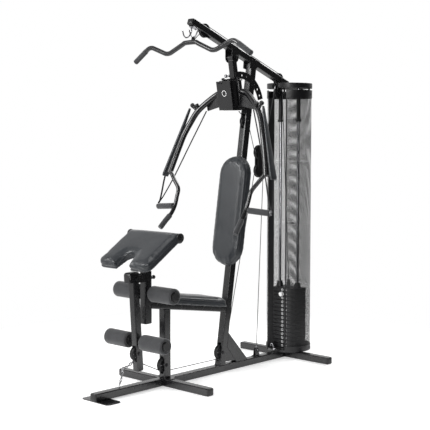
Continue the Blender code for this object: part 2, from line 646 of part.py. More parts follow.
def make_yoke():
    """Yoke that carries both arms: front plate, cheeks and the two hinge pins."""
    pieces = []
    adjust = on_press(0, -ADJUST_DOWN)
    cheek = [(-0.106, -0.010), (-0.106, 0.165), (-0.070, 0.176), (0.022, 0.176), (0.030, 0.120)]
    cheek += arc((0, 0), 0.026, 0, -math.pi / 2, 6)
    for side in (-1, 1):
        plane = side_plane(adjust + side * 0.0226 * X_AXIS, PRESS_LEAN)
        outlines = [cheek, ring(ADJUST_BORE)]
        pieces.append(to_mesh(extrusion("cheek", outlines, 0.004, plane, "black_steel")))
    front = on_press(0.1055, -0.220)
    pieces.append(box("yoke_front", (0.116, 0.005, 0.178), front, "black_steel", PRESS_LEAN, 0.002))
    upper, lower = on_press(FLY_FORWARD, -0.136), on_press(FLY_FORWARD, -0.296)
    lugs = [box("lug", (0.170, 0.028, 0.006), centre, "black_steel", PRESS_LEAN) for centre in (upper, lower)]
    cut(lugs[1], box("lug_gap", (0.0412, 0.060, 0.02), lower, None, PRESS_LEAN))
    pieces += [to_mesh(lug) for lug in lugs]
    for side in (-1, 1):
        x = side * FLY_X
        pieces.append(cylinder("fly_pin", on_press(FLY_FORWARD, -0.304, x), on_press(FLY_FORWARD, -0.128, x),
                               0.008, "black_steel", 16))
    joined("press_yoke", pieces, "black_steel")

    outer, inner = 0.214, 0.168
    start, stop = math.radians(95), math.radians(4)
    band = arc((0, 0), outer, start, stop, 20) + arc((0, 0), inner, stop, start, 20)
    holes = []
    for step in range(7):
        angle = math.radians(90 - 13 * step)
        centre = (PIN_RADIUS * math.cos(angle), PIN_RADIUS * math.sin(angle))
        holes.append(ring(PIN_BORE, centre))
    plane = side_plane(adjust + 0.0274 * X_AXIS, PRESS_LEAN)
    extrusion("press_quadrant", [band] + holes, 0.004, plane, "black_steel")


ARM_CURVE = ((0.062, 0.125, 1.742), (0.125, 0.125, 1.722), (0.196, 0.104, 1.673), (0.255, 0.081, 1.618),
             (0.298, 0.061, 1.547), (0.330, 0.037, 1.474), (0.357, 0.019, 1.395),
             (0.381, 0.001, 1.316), (0.404, -0.020, 1.232))
HANDLE_CURVE = ((0.400, -0.019, 1.244), (0.350, -0.032, 1.188), (0.306, -0.041, 1.135),
                (0.301, -0.058, 1.083), (0.298, -0.079, 1.028), (0.299, -0.111, 0.980),
                (0.308, -0.151, 0.938), (0.316, -0.191, 0.894))
GRIP_ROOT, GRIP_TIP = Vector((0.300, -0.076, 1.027)), Vector((0.472, -0.061, 1.016))
PAD_TOP, PAD_LOW = Vector((0.292, 0.066, 1.640)), Vector((0.440, -0.013, 1.210))


def mirrored(points, side):
    """The points on the given side of the symmetry plane."""
    return [Vector((side * p[0], p[1], p[2])) for p in points]


def make_arm(side, label):
    """One swinging arm with its sleeve, gusset, handle, grip and forearm pad."""
    sleeve = turned("sleeve", [(0.0084, 0.0752), (0.019, 0.0752), (0.019, -0.0752), (0.0084, -0.0752)],
                    Matrix.Translation(on_press(FLY_FORWARD, -0.216, side * FLY_X))
                    @ Matrix.Rotation(PRESS_LEAN, 4, "X"), "black_steel")
    start = [(0.075, 0.125, 1.738)] + list(ARM_CURVE[1:])
    arm_route = smooth_path(mirrored(start, side), 0.045)
    handle_route = smooth_path(mirrored(HANDLE_CURVE, side), 0.028)
    pieces = [to_mesh(sleeve),
              to_mesh(tube_path("arm_tube", arm_route, 0.019, "black_steel", 3)),
              to_mesh(tube_path("handle_tube", handle_route, 0.0125, "black_steel", 2))]
    root, tip = mirrored((GRIP_ROOT, GRIP_TIP), side)
    pieces.append(cylinder("stub", root, tip, 0.009, "black_steel", 16))
    web = [(0.074, 1.650), (0.196, 1.622), (0.205, 1.664), (0.120, 1.722), (0.074, 1.735)]
    turn = Matrix(((1, 0, 0), (0, 0, -1), (0, 1, 0))).to_4x4()
    outline = [(side * x, z) for x, z in web]
    place = Matrix.Translation((0, 0.118, 0)) @ turn
    pieces.append(to_mesh(extrusion("web", [outline], 0.005, place, "black_steel")))
    hanger = mirrored(((0.250, 0.080, 1.616), (0.285, 0.072, 1.655)), side)
    pieces.append(cylinder("hanger", hanger[0], hanger[1], 0.009, "black_steel", 16))
    arm = joined(f"press_arm_{label}", pieces, "black_steel")
    cut(arm, cylinder(f"sleeve_bore_{label}", on_press(FLY_FORWARD, -0.31, side * FLY_X),
                      on_press(FLY_FORWARD, -0.12, side * FLY_X), 0.0084, None))

    along = (tip - root).normalized()
    start = root + 0.0145 * along
    length = (tip - start).length
    place = Matrix.Translation(start + along * length / 2) @ frame_along(along, Vector((0, 1, 0)))
    profile = [(0.0094, length / 2), (0.0185, length / 2), (0.0185, -length / 2), (0.0094, -length / 2)]
    turned(f"outer_grip_{label}", profile, place, "foam", 18)
    make_forearm_pad(side, label)


def make_forearm_pad(side, label):
    """Flat forearm pad that widens downwards beside the arm tube."""
    top, low = mirrored((PAD_TOP, PAD_LOW), side)
    work = bmesh.new()
    bmesh.ops.create_cube(work, size=1.0)
    length = (top - low).length
    for vertex in work.verts:
        upper = vertex.co.z > 0
        vertex.co.x *= 0.012 if upper else 0.022
        vertex.co.y *= 0.016 if upper else 0.056
        vertex.co.z *= length
    mesh = bpy.data.meshes.new(f"forearm_pad_{label}")
    work.to_mesh(mesh)
    work.free()
    pad = register(f"forearm_pad_{label}", mesh, "vinyl")
    beside = Vector((side * 0.014, 0, 0))
    pad.matrix_world = Matrix.Translation((top + low) / 2 + beside) @ frame_along(top - low)
    rounding = pad.modifiers.new("rounding", "BEVEL")
    rounding.width = 0.004
    rounding.segments = 2


# ---------------------------------------------------------------- lat bar, curl and leg stations
LAT_BENDS = ((0.477, 1.923), (0.344, 2.009), (0.189, 1.952), (0.039, 2.015))


def make_lat_bar():
    """The bent lat bar with its hanging lug, and the two storage hooks at the beam's tip."""
    right = [Vector((x, LAT_BAR_Y, z)) for x, z in LAT_BENDS]
    rounded = [right[0]]
    for before, bend, after in zip(right, right[1:], right[2:]):
        rounded += [bend.lerp(before, 0.16), bend.lerp(before, 0.05)]
        rounded += [bend.lerp(after, 0.05), bend.lerp(after, 0.16)]
    rounded += [right[3].lerp(right[2], 0.12), right[3]]
    route = [Vector((-p.x, p.y, p.z)) for p in rounded] + rounded[::-1]
    bar = to_mesh(tube_path("lat_tube", route, LAT_BAR_R, "black_steel", 3))
    lug = box("lug", (0.006, 0.034, 0.030), (0, LAT_BAR_Y + 0.014, 2.031), "black_steel", 0, 0.002)
    joined("lat_bar", [bar, to_mesh(lug)], "black_steel")

    tip = on_beam(BEAM_TIP_Y + 0.016, -BEAM_H / 2 - GAP)
    pieces = [box("hook_plate", (0.048, 0.030, 0.004), tip - 0.002 * BEAM_UP, "chrome", -BEAM_SLOPE)]
    for side in (-1, 1):
        route = [(side * 0.018, tip.y, tip.z - 0.0075), (side * 0.024, -0.206, 2.080),
                 (side * 0.027, -0.222, 2.054), (side * 0.028, -0.244, 2.043),
                 (side * 0.028, -0.264, 2.052), (side * 0.028, -0.276, 2.080)]
        pieces.append(to_mesh(tube_path("hook", smooth_path(route, 0.012), 0.004, "chrome")))
    joined("bar_hooks", pieces, "chrome")


def make_curl():
    """Sliding post of the curl pad and its locking pin."""
    under = CURL_CENTRE - Vector((0, 0, CURL_T / 2 + GAP))
    post = square_tube("curl_post", (0, MAST_Y, 0.604), (0, MAST_Y, 0.90), CURL_TUBE, CURL_TUBE)
    normal = Vector((0, -math.sin(CURL_SLOPE), math.cos(CURL_SLOPE)))
    over = CURL_CENTRE + normal * (0.1 - CURL_T / 2 - GAP)
    cut(post, box("curl_trim", (0.3, 0.5, 0.2), over, None, CURL_SLOPE))
    pin_at = Vector((0, MAST_Y, 0.650))
    cut(post, cylinder("curl_pin_hole", pin_at, pin_at + Vector((0, 0.06, 0)), 0.0055, None, 16))
    profile = [(0.0, 0.0), (0.0045, 0.0004), (0.0045, 0.0100), (0.0110, 0.0102), (0.0110, 0.024),
               (0.0060, 0.027), (0.0060, 0.034), (0.0120, 0.036), (0.0120, 0.046), (0.0, 0.047)]
    spin_profile("curl_pin", profile, pin_at + Vector((0, CURL_PIN_PARKED, 0)), Vector((0, 1, 0)), "chrome")


def make_leg():
    """Leg lever, its bracket on the receiver, its roller bar and the four foam rollers."""
    back, half = MAST_Y - TUBE / 2 - GAP, LEG_TUBE / 2
    ear_in, ear_out = half + 0.0012, half + 0.0052
    reach = LEG_PIVOT.y - 0.022
    outline = [(ear_out, back), (-ear_out, back), (-ear_out, reach), (-ear_in, reach),
               (-ear_in, back - 0.004), (ear_in, back - 0.004), (ear_in, reach), (ear_out, reach)]
    place = Matrix.Translation((0, 0, LEG_PIVOT.z))
    channel = to_mesh(extrusion("leg_channel", [outline], 0.044, place, "black_steel"))
    bolt = cross_bolt("leg_bolt", LEG_PIVOT, 0.031, 0.006, "black_steel", 16)
    joined("leg_bracket", [channel, bolt], "black_steel")

    tube = square_tube("leg_tube", on_leg(-0.022), on_leg(LEG_LENGTH), LEG_TUBE, LEG_TUBE)
    bar = cross_bolt("lower_bar", on_leg(LOWER_BAR_DOWN), ROLLER_OUT + 0.006, BAR_R, "black_steel", 16)
    axle = cross_bolt("leg_pulley_axle", LEG_PULLEY, 0.024, BOLT_R, "black_steel")
    cut(tube, box("leg_slot", (PULLEY_W + 0.003, 0.09, 0.092), LEG_PULLEY, None, LEG_LEAN))
    lever = joined("leg_lever", [to_mesh(tube), bar, axle], "black_steel")
    cut(lever, cross_bolt("leg_bore", LEG_PIVOT, 0.04, 0.0064, None, 16))

    for height, centre in (("upper", UPPER_BAR), ("lower", on_leg(LOWER_BAR_DOWN))):
        for side, label in ((-1, "left"), (1, "right")):
            middle = centre + side * (ROLLER_IN + ROLLER_OUT) / 2 * X_AXIS
            half, edge = (ROLLER_OUT - ROLLER_IN) / 2, 0.008
            profile = [(BAR_R + 0.0006, half), (ROLLER_R - edge, half), (ROLLER_R, half - edge),
                       (ROLLER_R, edge - half), (ROLLER_R - edge, -half), (BAR_R + 0.0006, -half)]
            place = Matrix.Translation(middle) @ frame_along(X_AXIS, Vector((0, 1, 0)))
            turned(f"{height}_roller_{label}", profile, place, "foam", 20)


# ---------------------------------------------------------------- cables
def wrap(centre, radius, start, stop, steps=8):
    """Cable points round a pulley in the X = 0 plane; angles in degrees from +Y towards +Z."""
    run = radius - GROOVE
    points = arc((centre.y, centre.z), run, math.radians(start), math.radians(stop), steps)
    return [Vector((0, y, z)) for y, z in points]


def make_cables():
    """The three steel cables along their taut routes."""
    slope = math.degrees(BEAM_SLOPE)
    high = [Vector((0, LAT_BAR_Y + 0.034, 2.034))]
    high += wrap(LAT_FRONT, BEAM_PULLEY_R, 205, 90 - slope, 8)
    high += wrap(LAT_REAR, BEAM_PULLEY_R, 90 - slope, 2, 6)
    high.append(Vector((0, STACK_Y, BASE_TOP + 15 * PLATE_PITCH + 0.058)))
    tube_path("high_cable", high, CABLE_R, "cable")

    press = [on_press(0.010, -0.3205) + Vector((0, 0.02, -0.01))]
    press += wrap(POST_PULLEY, SMALL_PULLEY_R, 110, 14, 7)
    press += wrap(BLOCK_HIGH, PULLEY_R, 196, 340, 10)
    press.append(Vector((0, 0.545, 1.790)))
    tube_path("press_cable", press, CABLE_R, "cable")

    low = [on_leg(0.500, -0.030)]
    low += wrap(SEAT_PULLEY, PULLEY_R, 250, 270, 3)
    low += wrap(LOW_PULLEY, PULLEY_R, 270, 345, 6)
    low += wrap(BLOCK_LOW, PULLEY_R, 166, 0, 10)
    low.append(Vector((0, 0.363, RAIL_H + 0.045)))
    tube_path("low_cable", low, CABLE_R, "cable")


make_base()
make_posts()
make_seat_frame()
make_pads()
make_pulleys()
make_shroud()
make_stack()
make_press_mount()
make_press_lever()
make_yoke()
for arm_side, arm_label in ((-1, "left"), (1, "right")):
    make_arm(arm_side, arm_label)
make_lat_bar()
make_curl()
make_leg()
make_cables()
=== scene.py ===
import json
import math
from contextlib import contextmanager

import bmesh
import bpy
import numpy as np
from mathutils import Matrix, Vector
from mathutils.bvhtree import BVHTree


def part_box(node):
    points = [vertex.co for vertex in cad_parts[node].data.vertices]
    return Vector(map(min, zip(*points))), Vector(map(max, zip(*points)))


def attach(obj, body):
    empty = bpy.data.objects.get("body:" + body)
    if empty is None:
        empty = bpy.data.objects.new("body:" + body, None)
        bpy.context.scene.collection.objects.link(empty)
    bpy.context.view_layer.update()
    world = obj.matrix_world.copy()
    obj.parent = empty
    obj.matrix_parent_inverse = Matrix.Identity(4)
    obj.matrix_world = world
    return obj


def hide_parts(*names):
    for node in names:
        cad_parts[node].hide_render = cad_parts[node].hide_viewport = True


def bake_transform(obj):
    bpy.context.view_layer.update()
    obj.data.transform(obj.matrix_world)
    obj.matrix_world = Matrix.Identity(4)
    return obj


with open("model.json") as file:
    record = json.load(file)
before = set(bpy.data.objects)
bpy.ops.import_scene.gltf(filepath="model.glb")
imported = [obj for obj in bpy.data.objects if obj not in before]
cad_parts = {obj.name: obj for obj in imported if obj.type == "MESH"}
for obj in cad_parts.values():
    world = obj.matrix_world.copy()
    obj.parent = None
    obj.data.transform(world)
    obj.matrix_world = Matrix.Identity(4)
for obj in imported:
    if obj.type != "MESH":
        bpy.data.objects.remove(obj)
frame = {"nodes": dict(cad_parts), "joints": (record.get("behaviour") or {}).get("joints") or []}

# The looks of a multi station home gym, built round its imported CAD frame. Metres, +Z up, -Y front.
for start_up in ("Cube", "Light", "Camera"):
    if start_up in bpy.data.objects:
        bpy.data.objects.remove(bpy.data.objects[start_up], do_unlink=True)
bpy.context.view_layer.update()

# ---------------------------------------------------------------- places, as the CAD source has them
GAP = 0.0003
TUBE, RAIL_H = 0.05, 0.045
POST_FOOT_Y, POST_LEAN = 0.012, math.radians(8.8)
BEAM_DATUM_Y, BEAM_TOP_Z, BEAM_SLOPE, BEAM_H = -0.201, 2.144, math.radians(20.6), 0.04
PRESS_LEAN, LEG_LEAN, CURL_SLOPE = math.radians(10), math.radians(3.5), math.radians(33)
STACK_Y, ROD_X, ROD_R = 0.69, 0.075, 0.0095
SHROUD_R, SHROUD_OPENING, SHROUD_FLANGE = 0.145, math.radians(30), 0.038
PLATE_W, PLATE_D, PLATE_PITCH, PLATES_BELOW = 0.204, 0.128, 0.0267, 13
POST_HEAD_Y, ARM_HINGE_X, CABLE_FOOT_Y = 0.315, 0.062, 0.363
CABLE_R, GROOVE, BOLT_R, BAR_R = 0.0022, 0.005, 0.005, 0.0125
JOINTS = {joint["name"]: joint for joint in frame["joints"]}
X_AXIS, Y_AXIS, Z_AXIS = Vector((1, 0, 0)), Vector((0, 1, 0)), Vector((0, 0, 1))
POST_UP = Vector((0, math.sin(POST_LEAN), math.cos(POST_LEAN)))
POST_FRONT = Vector((0, -math.cos(POST_LEAN), math.sin(POST_LEAN)))
BEAM_BACK = Vector((0, math.cos(BEAM_SLOPE), -math.sin(BEAM_SLOPE)))
BEAM_UP = Vector((0, math.sin(BEAM_SLOPE), math.cos(BEAM_SLOPE)))

# ---------------------------------------------------------------- sizes of the looks, camera and light
SHROUD_CELL_W, SHROUD_CELL_H, SHROUD_OPEN_SHARE = 0.0096, 0.0036, 0.67
TUBE_EDGE, PAD_BOARD, LINK_WIRE, WELD_R = 0.0007, 0.01, 0.0027, 0.0016
HEAD_OUT = TUBE / 2 + 0.0002    # a bolt head's seat, out from a tube's middle
SIDES = ((-1, "left"), (1, "right"))
CAMERA_AT, CAMERA_DOWN, CAMERA_TURN, CAMERA_LENS = (4.189, -4.474, 1.434), 4.24, 43.29, 83.65
FLOOR_GLOW = 0.42
# each lamp: name, place, width, height and watts
LAMPS = (("key", (-1.7, -3.9, 3.2), 2.2, 1.6, 130), ("top", (0.4, 0.2, 4.8), 2.4, 1.6, 35),
         ("strip_front", (3.0, -4.2, 2.2), 1.4, 3.6, 140), ("back_top", (0.3, 4.0, 4.4), 2.4, 1.6, 130))
# each panel: the direction it hangs in, the cosines where its light starts and is full, and its brightness
ROOM_PANELS = (((0, 0, 1), -1.01, -1.0, 0.06), ((-0.68, 0.73, 0), 0.35, 0.8, 0.8),
               ((-0.68, -0.73, 0.1), 0.6, 0.95, 0.7), ((0, 0, 1), 0.6, 0.95, 0.2))


def pivot(joint):
    """The point that a joint turns about."""
    return Vector(JOINTS[joint]["pos_m"])


def on_post(up, front=0.0):
    """A point measured up the post's axis and forward of it."""
    return Vector((0, POST_FOOT_Y, 0)) + up * POST_UP + front * POST_FRONT


def on_beam(y, above=0.0, x=0.0):
    """A point on the beam's axis at the given Y, raised square to the beam."""
    top = BEAM_TOP_Z - math.tan(BEAM_SLOPE) * (y - BEAM_DATUM_Y)
    return Vector((x, y, top)) + (above - BEAM_H / 2) * BEAM_UP


def on_press(front, up, x=0.0):
    """A point in the press lever's leaning frame."""
    c, s = math.cos(PRESS_LEAN), math.sin(PRESS_LEAN)
    return pivot("press_swing") + Vector((x, -front * c - up * s, -front * s + up * c))


def on_leg(down, front=0.0):
    """A point down the leg lever from its pivot."""
    c, s = math.cos(LEG_LEAN), math.sin(LEG_LEAN)
    return pivot("leg_extension") + Vector((0, down * s - front * c, -down * c - front * s))


def middle(node):
    """Centre of a CAD node's box."""
    low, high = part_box(node)
    return (low + high) / 2


# ---------------------------------------------------------------- camera, light and floor
def math_node(tree, operation, first, second):
    """A Math node on two sockets."""
    node = tree.nodes.new("ShaderNodeMath")
    node.operation = operation
    tree.links.new(first, node.inputs[0])
    tree.links.new(second, node.inputs[1])
    return node.outputs[0]


def vector_node(tree, operation, source):
    """A Vector Math node on a socket."""
    node = tree.nodes.new("ShaderNodeVectorMath")
    node.operation = operation
    tree.links.new(source, node.inputs[0])
    return node


def mixed(tree, share, first, second):
    """A Mix Shader node on three sockets."""
    mix = tree.nodes.new("ShaderNodeMixShader")
    for socket, source in zip(mix.inputs, (share, first, second)):
        tree.links.new(source, socket)
    return mix.outputs[0]


def room_light(tree, heading):
    """Brightness of the studio's walls along a direction: a dim room with soft white panels."""
    total = None
    for direction, start, stop, amount in ROOM_PANELS:
        toward = vector_node(tree, "DOT_PRODUCT", heading)
        toward.inputs[1].default_value = direction
        share = ranged(tree, toward.outputs["Value"], start, stop, 0.0, amount)
        total = math_node(tree, "ADD", total, share) if total else share
    return total


def to_camera(tree, unseen, seen):
    """One shader for the camera's own rays, another for all other light."""
    rays = tree.nodes.new("ShaderNodeLightPath").outputs["Is Camera Ray"]
    return mixed(tree, rays, unseen.outputs[0], seen.outputs[0])


def floor_paper():
    """White studio paper that takes a soft shadow near the object and fades to pure white."""
    made = procedural("floor_paper", (0.88, 0.88, 0.88), 0.75, mottle=0.01, mottle_scale=2, grain_scale=300,
                      depth=0.00002)
    tree = made.node_tree
    shader = tree.nodes["Principled BSDF"]
    shader.inputs["Emission Color"].default_value = (1, 1, 1, 1)
    shader.inputs["Emission Strength"].default_value = FLOOR_GLOW
    white, panels = (tree.nodes.new("ShaderNodeEmission") for _ in range(2))
    place = tree.nodes.new("ShaderNodeTexCoord").outputs["Object"]
    heading = vector_node(tree, "NORMALIZE", place).outputs["Vector"]
    tree.links.new(room_light(tree, heading), panels.inputs["Strength"])
    away = ranged(tree, vector_node(tree, "LENGTH", place).outputs["Value"], 1.3, 2.2, 0.0, 1.0)
    faded = mixed(tree, away, shader.outputs[0], to_camera(tree, panels, white))
    tree.links.new(faded, tree.nodes["Material Output"].inputs["Surface"])
    return made


def placed(name, data):
    """A new object in the scene."""
    made = bpy.data.objects.new(name, data)
    bpy.context.scene.collection.objects.link(made)
    return made


@contextmanager
def editing(mesh):
    """A bmesh of the mesh, written back when the block ends."""
    work = bmesh.new()
    work.from_mesh(mesh)
    yield work
    work.to_mesh(mesh)
    work.free()


def make_stage():
    """Camera at the photographed angle, soft white studio light and a pale floor."""
    lens = bpy.data.cameras.new("camera")
    lens.sensor_width, lens.lens = 36.0, CAMERA_LENS
    camera = placed("camera", lens)
    camera.location = CAMERA_AT
    camera.rotation_euler = (math.radians(90 - CAMERA_DOWN), 0, math.radians(CAMERA_TURN))
    bpy.context.scene.camera = camera
    bpy.context.scene.view_settings.view_transform = "Standard"

    mesh = bpy.data.meshes.new("studio_floor")
    with editing(mesh) as work:
        bmesh.ops.create_circle(work, cap_ends=True, segments=96, radius=60)
    mesh.materials.append(floor_paper())
    floor = placed("studio_floor", mesh)
    floor.location.z = -0.0005

    for name, at, width, height, watts in LAMPS:
        lamp = bpy.data.lights.new(name, "AREA")
        lamp.shape, lamp.size, lamp.size_y, lamp.energy = "RECTANGLE", width, height, watts
        holder = placed(name, lamp)
        holder.location = at
        aim = Vector((0, 0, 1.0)) - Vector(at)
        holder.rotation_euler = aim.to_track_quat("-Z", "Y").to_euler()
        holder.visible_camera = False

    world = bpy.data.worlds.new("studio")
    bpy.context.scene.world = world
    world.use_nodes = True
    tree = world.node_tree
    tree.nodes.clear()
    out = tree.nodes.new("ShaderNodeOutputWorld")
    room, backdrop = (tree.nodes.new("ShaderNodeBackground") for _ in range(2))
    for background in (room, backdrop):
        background.inputs["Color"].default_value = (1, 1, 1, 1)
    heading = tree.nodes.new("ShaderNodeTexCoord").outputs["Generated"]
    tree.links.new(room_light(tree, heading), room.inputs["Strength"])
    tree.links.new(to_camera(tree, room, backdrop), out.inputs[0])


# ---------------------------------------------------------------- materials
def ranged(tree, source, low, high, to_low, to_high):
    """A Map Range node on a socket."""
    node = tree.nodes.new("ShaderNodeMapRange")
    for name, value in (("From Min", low), ("From Max", high), ("To Min", to_low), ("To Max", to_high)):
        node.inputs[name].default_value = value
    tree.links.new(source, node.inputs["Value"])
    return node.outputs["Result"]


def texture(tree, kind, coords, scale, stretch=(1, 1, 1), detail=2.0):
    """A noise or cell texture in metres."""
    mapping = tree.nodes.new("ShaderNodeMapping")
    mapping.inputs["Scale"].default_value = [scale * s for s in stretch]
    tree.links.new(coords, mapping.inputs["Vector"])
    node = tree.nodes.new({"noise": "ShaderNodeTexNoise", "cells": "ShaderNodeTexVoronoi"}[kind])
    node.inputs["Scale"].default_value = 1.0
    if kind == "noise":
        node.inputs["Detail"].default_value = detail
    tree.links.new(mapping.outputs[0], node.inputs["Vector"])
    return node.outputs["Fac" if kind == "noise" else "Distance"]


def procedural(name, colour, roughness, metallic=0.0, mottle=0.2, mottle_scale=14.0, grain="noise",
               grain_scale=900.0, stretch=(1, 1, 1), depth=0.00004, spread=0.06, dust=0.0, sheen=0.0,
               ior=1.5):
    """A material whose colour, roughness and relief vary over the surface at real scales."""
    title = name + "_finish"
    if title in bpy.data.materials:
        return bpy.data.materials[title]
    made = bpy.data.materials.new(title)
    made.use_nodes = True
    tree = made.node_tree
    shader = tree.nodes["Principled BSDF"]
    shader.inputs["Metallic"].default_value = metallic
    shader.inputs["Sheen Weight"].default_value = sheen
    shader.inputs["Sheen Roughness"].default_value = 0.45
    shader.inputs["IOR"].default_value = ior
    coords = tree.nodes.new("ShaderNodeTexCoord").outputs["Object"]

    ramp = tree.nodes.new("ShaderNodeValToRGB")
    ramp.color_ramp.elements[0].position, ramp.color_ramp.elements[1].position = 0.3, 0.7
    ramp.color_ramp.elements[0].color = (*[c * (1 - mottle) for c in colour], 1)
    ramp.color_ramp.elements[1].color = (*[min(1, c * (1 + mottle)) for c in colour], 1)
    tree.links.new(texture(tree, "noise", coords, mottle_scale, detail=5), ramp.inputs["Fac"])
    base = ramp.outputs["Color"]
    if dust:
        normal = tree.nodes.new("ShaderNodeSeparateXYZ")
        tree.links.new(tree.nodes.new("ShaderNodeNewGeometry").outputs["Normal"], normal.inputs[0])
        upward = ranged(tree, normal.outputs["Z"], 0.55, 1.0, 0.0, dust)
        specks = ranged(tree, texture(tree, "noise", coords, 60, detail=6), 0.45, 0.75, 0.2, 1.0)
        blend = tree.nodes.new("ShaderNodeMix")
        blend.data_type = "RGBA"
        tree.links.new(math_node(tree, "MULTIPLY", upward, specks), blend.inputs["Factor"])
        clean, dusty = [s for s in blend.inputs if s.type == "RGBA"]
        tree.links.new(base, clean)
        dusty.default_value = (0.3, 0.29, 0.27, 1)
        base = [s for s in blend.outputs if s.type == "RGBA"][0]
    tree.links.new(base, shader.inputs["Base Color"])

    fine = texture(tree, "noise" if grain == "noise" else "cells", coords, grain_scale, stretch)
    tree.links.new(ranged(tree, texture(tree, "noise", coords, mottle_scale * 3, detail=4), 0.3, 0.7,
                          roughness - spread, roughness + spread), shader.inputs["Roughness"])
    if grain == "leather":
        fine = math_node(tree, "ADD", ranged(tree, fine, 0.0, 0.5, 1.0, 0.0),
                         texture(tree, "noise", coords, grain_scale * 0.35, detail=3))
    bump = tree.nodes.new("ShaderNodeBump")
    bump.inputs["Strength"].default_value = 0.6
    bump.inputs["Distance"].default_value = depth
    tree.links.new(fine, bump.inputs["Height"])
    tree.links.new(bump.outputs[0], shader.inputs["Normal"])
    return made


FINISHES = {
    "black_steel": dict(colour=(0.006, 0.006, 0.007), roughness=0.24, mottle=0.15, grain_scale=420,
                        depth=0.00003, dust=0.05, ior=1.62),
    "chrome": dict(colour=(0.5, 0.5, 0.52), roughness=0.16, metallic=1.0, mottle=0.05, grain_scale=260,
                   stretch=(1, 1, 14), depth=0.00001, spread=0.05),
    "vinyl": dict(colour=(0.025, 0.028, 0.032), roughness=0.34, mottle=0.1, mottle_scale=7, grain="leather",
                  grain_scale=760, depth=0.00016, sheen=0.1),
    "foam": dict(colour=(0.04, 0.041, 0.044), roughness=0.88, mottle=0.12, mottle_scale=22, grain="pores",
                 depth=0.00022, sheen=0.3),
    "black_plastic": dict(colour=(0.006, 0.006, 0.007), roughness=0.42, mottle=0.12, grain_scale=1300,
                          depth=0.00005),
    "mesh_steel": dict(colour=(0.008, 0.008, 0.009), roughness=0.45, mottle=0.15, grain_scale=700,
                       depth=0.00003),
    "plate_iron": dict(colour=(0.006, 0.006, 0.007), roughness=0.48, mottle=0.18, grain_scale=520,
                       depth=0.00009),
    "cable": dict(colour=(0.03, 0.03, 0.032), roughness=0.38, grain_scale=1500, stretch=(1, 1, 0.25),
                  depth=0.00012),
    "zinc": dict(colour=(0.34, 0.34, 0.35), roughness=0.28, metallic=1.0, mottle=0.1, grain_scale=800),
    "black_oxide": dict(colour=(0.022, 0.022, 0.024), roughness=0.34, metallic=0.6),
    "webbing": dict(colour=(0.016, 0.016, 0.018), roughness=0.8, grain_scale=1400, stretch=(1, 1, 0.3),
                    depth=0.00025, sheen=0.2),
    "white_mark": dict(colour=(0.8, 0.8, 0.8), roughness=0.45, mottle=0.04, depth=0.00002),
    # board: matte dark finish of the receiver's slot sheet, painted shade standing in for the slot's shadowed
    # recess
    "board": dict(colour=(0.02, 0.02, 0.021), roughness=0.72, mottle_scale=30, grain_scale=500,
                  depth=0.00012),
    "thread": dict(colour=(0.085, 0.088, 0.094), roughness=0.65, mottle=0.1, grain_scale=2500),
}


def look(name):
    """The finished material for one of the record's slots or a small fitting."""
    return procedural(name, **FINISHES[name])


# ---------------------------------------------------------------- mesh helpers
def along(start, direction=Z_AXIS, across=X_AXIS):
    """Matrix at start whose local Z lies along direction and local X near across."""
    z_axis = Vector(direction).normalized()
    if abs(z_axis.dot(across)) > 0.95:
        across = Y_AXIS
    y_axis = z_axis.cross(across).normalized()
    return Matrix.Translation(start) @ Matrix((y_axis.cross(z_axis), y_axis, z_axis)).transposed().to_4x4()


def side_plane(origin, lean=0.0):
    """Matrix of a plane square to X: local X runs to the rear, local Y runs up."""
    turn = Matrix(((0, 0, 1), (1, 0, 0), (0, 1, 0))).to_4x4()
    return Matrix.Translation(origin) @ Matrix.Rotation(lean, 4, "X") @ turn


def arc(centre, radius, start, stop, steps):
    """Points of a circular arc, angles in degrees."""
    angles = [math.radians(start + (stop - start) * i / steps) for i in range(steps + 1)]
    return [(centre[0] + radius * math.cos(a), centre[1] + radius * math.sin(a)) for a in angles]


def rounded(width, height, radius, steps=5):
    """Outline of a rectangle with round corners."""
    points = []
    for sx, sy, turn in ((1, 1, 0), (-1, 1, 90), (-1, -1, 180), (1, -1, 270)):
        points += arc((sx * (width / 2 - radius), sy * (height / 2 - radius)), radius, turn, turn + 90, steps)
    return points


def smooth_path(points, spacing):
    """Points about spacing apart on a smooth curve through the given points."""
    knots = [Vector(p) for p in points]
    knots = [2 * knots[0] - knots[1]] + knots + [2 * knots[-1] - knots[-2]]
    path = []
    for a, b, c, d in zip(knots, knots[1:], knots[2:], knots[3:]):
        count = max(1, round((c - b).length / spacing))
        for i in range(count):
            t = i / count
            path.append(0.5 * (2 * b + (c - a) * t + (2 * a - 5 * b + 4 * c - d) * t * t
                               + (3 * b - a - 3 * c + d) * t ** 3))
    return path + [knots[-2]]


def oval(centre, first, second, count):
    """Points round an oval with the given half axes."""
    turns = [math.tau * i / count for i in range(count)]
    return [centre + math.cos(t) * first + math.sin(t) * second for t in turns]


def both_ways(half):
    """A profile's near half, followed by its mirror image in height."""
    return half + [(radius, -height) for radius, height in half[::-1]]


def disc(radius, low, high):
    """Profile of a plain cylinder."""
    return [(0, low), (radius, low), (radius, high), (0, high)]


def band(low, high, count):
    """Faces between two rings of points, given their first points' numbers."""
    return [(low + i, low + (i + 1) % count, high + (i + 1) % count, high + i) for i in range(count)]


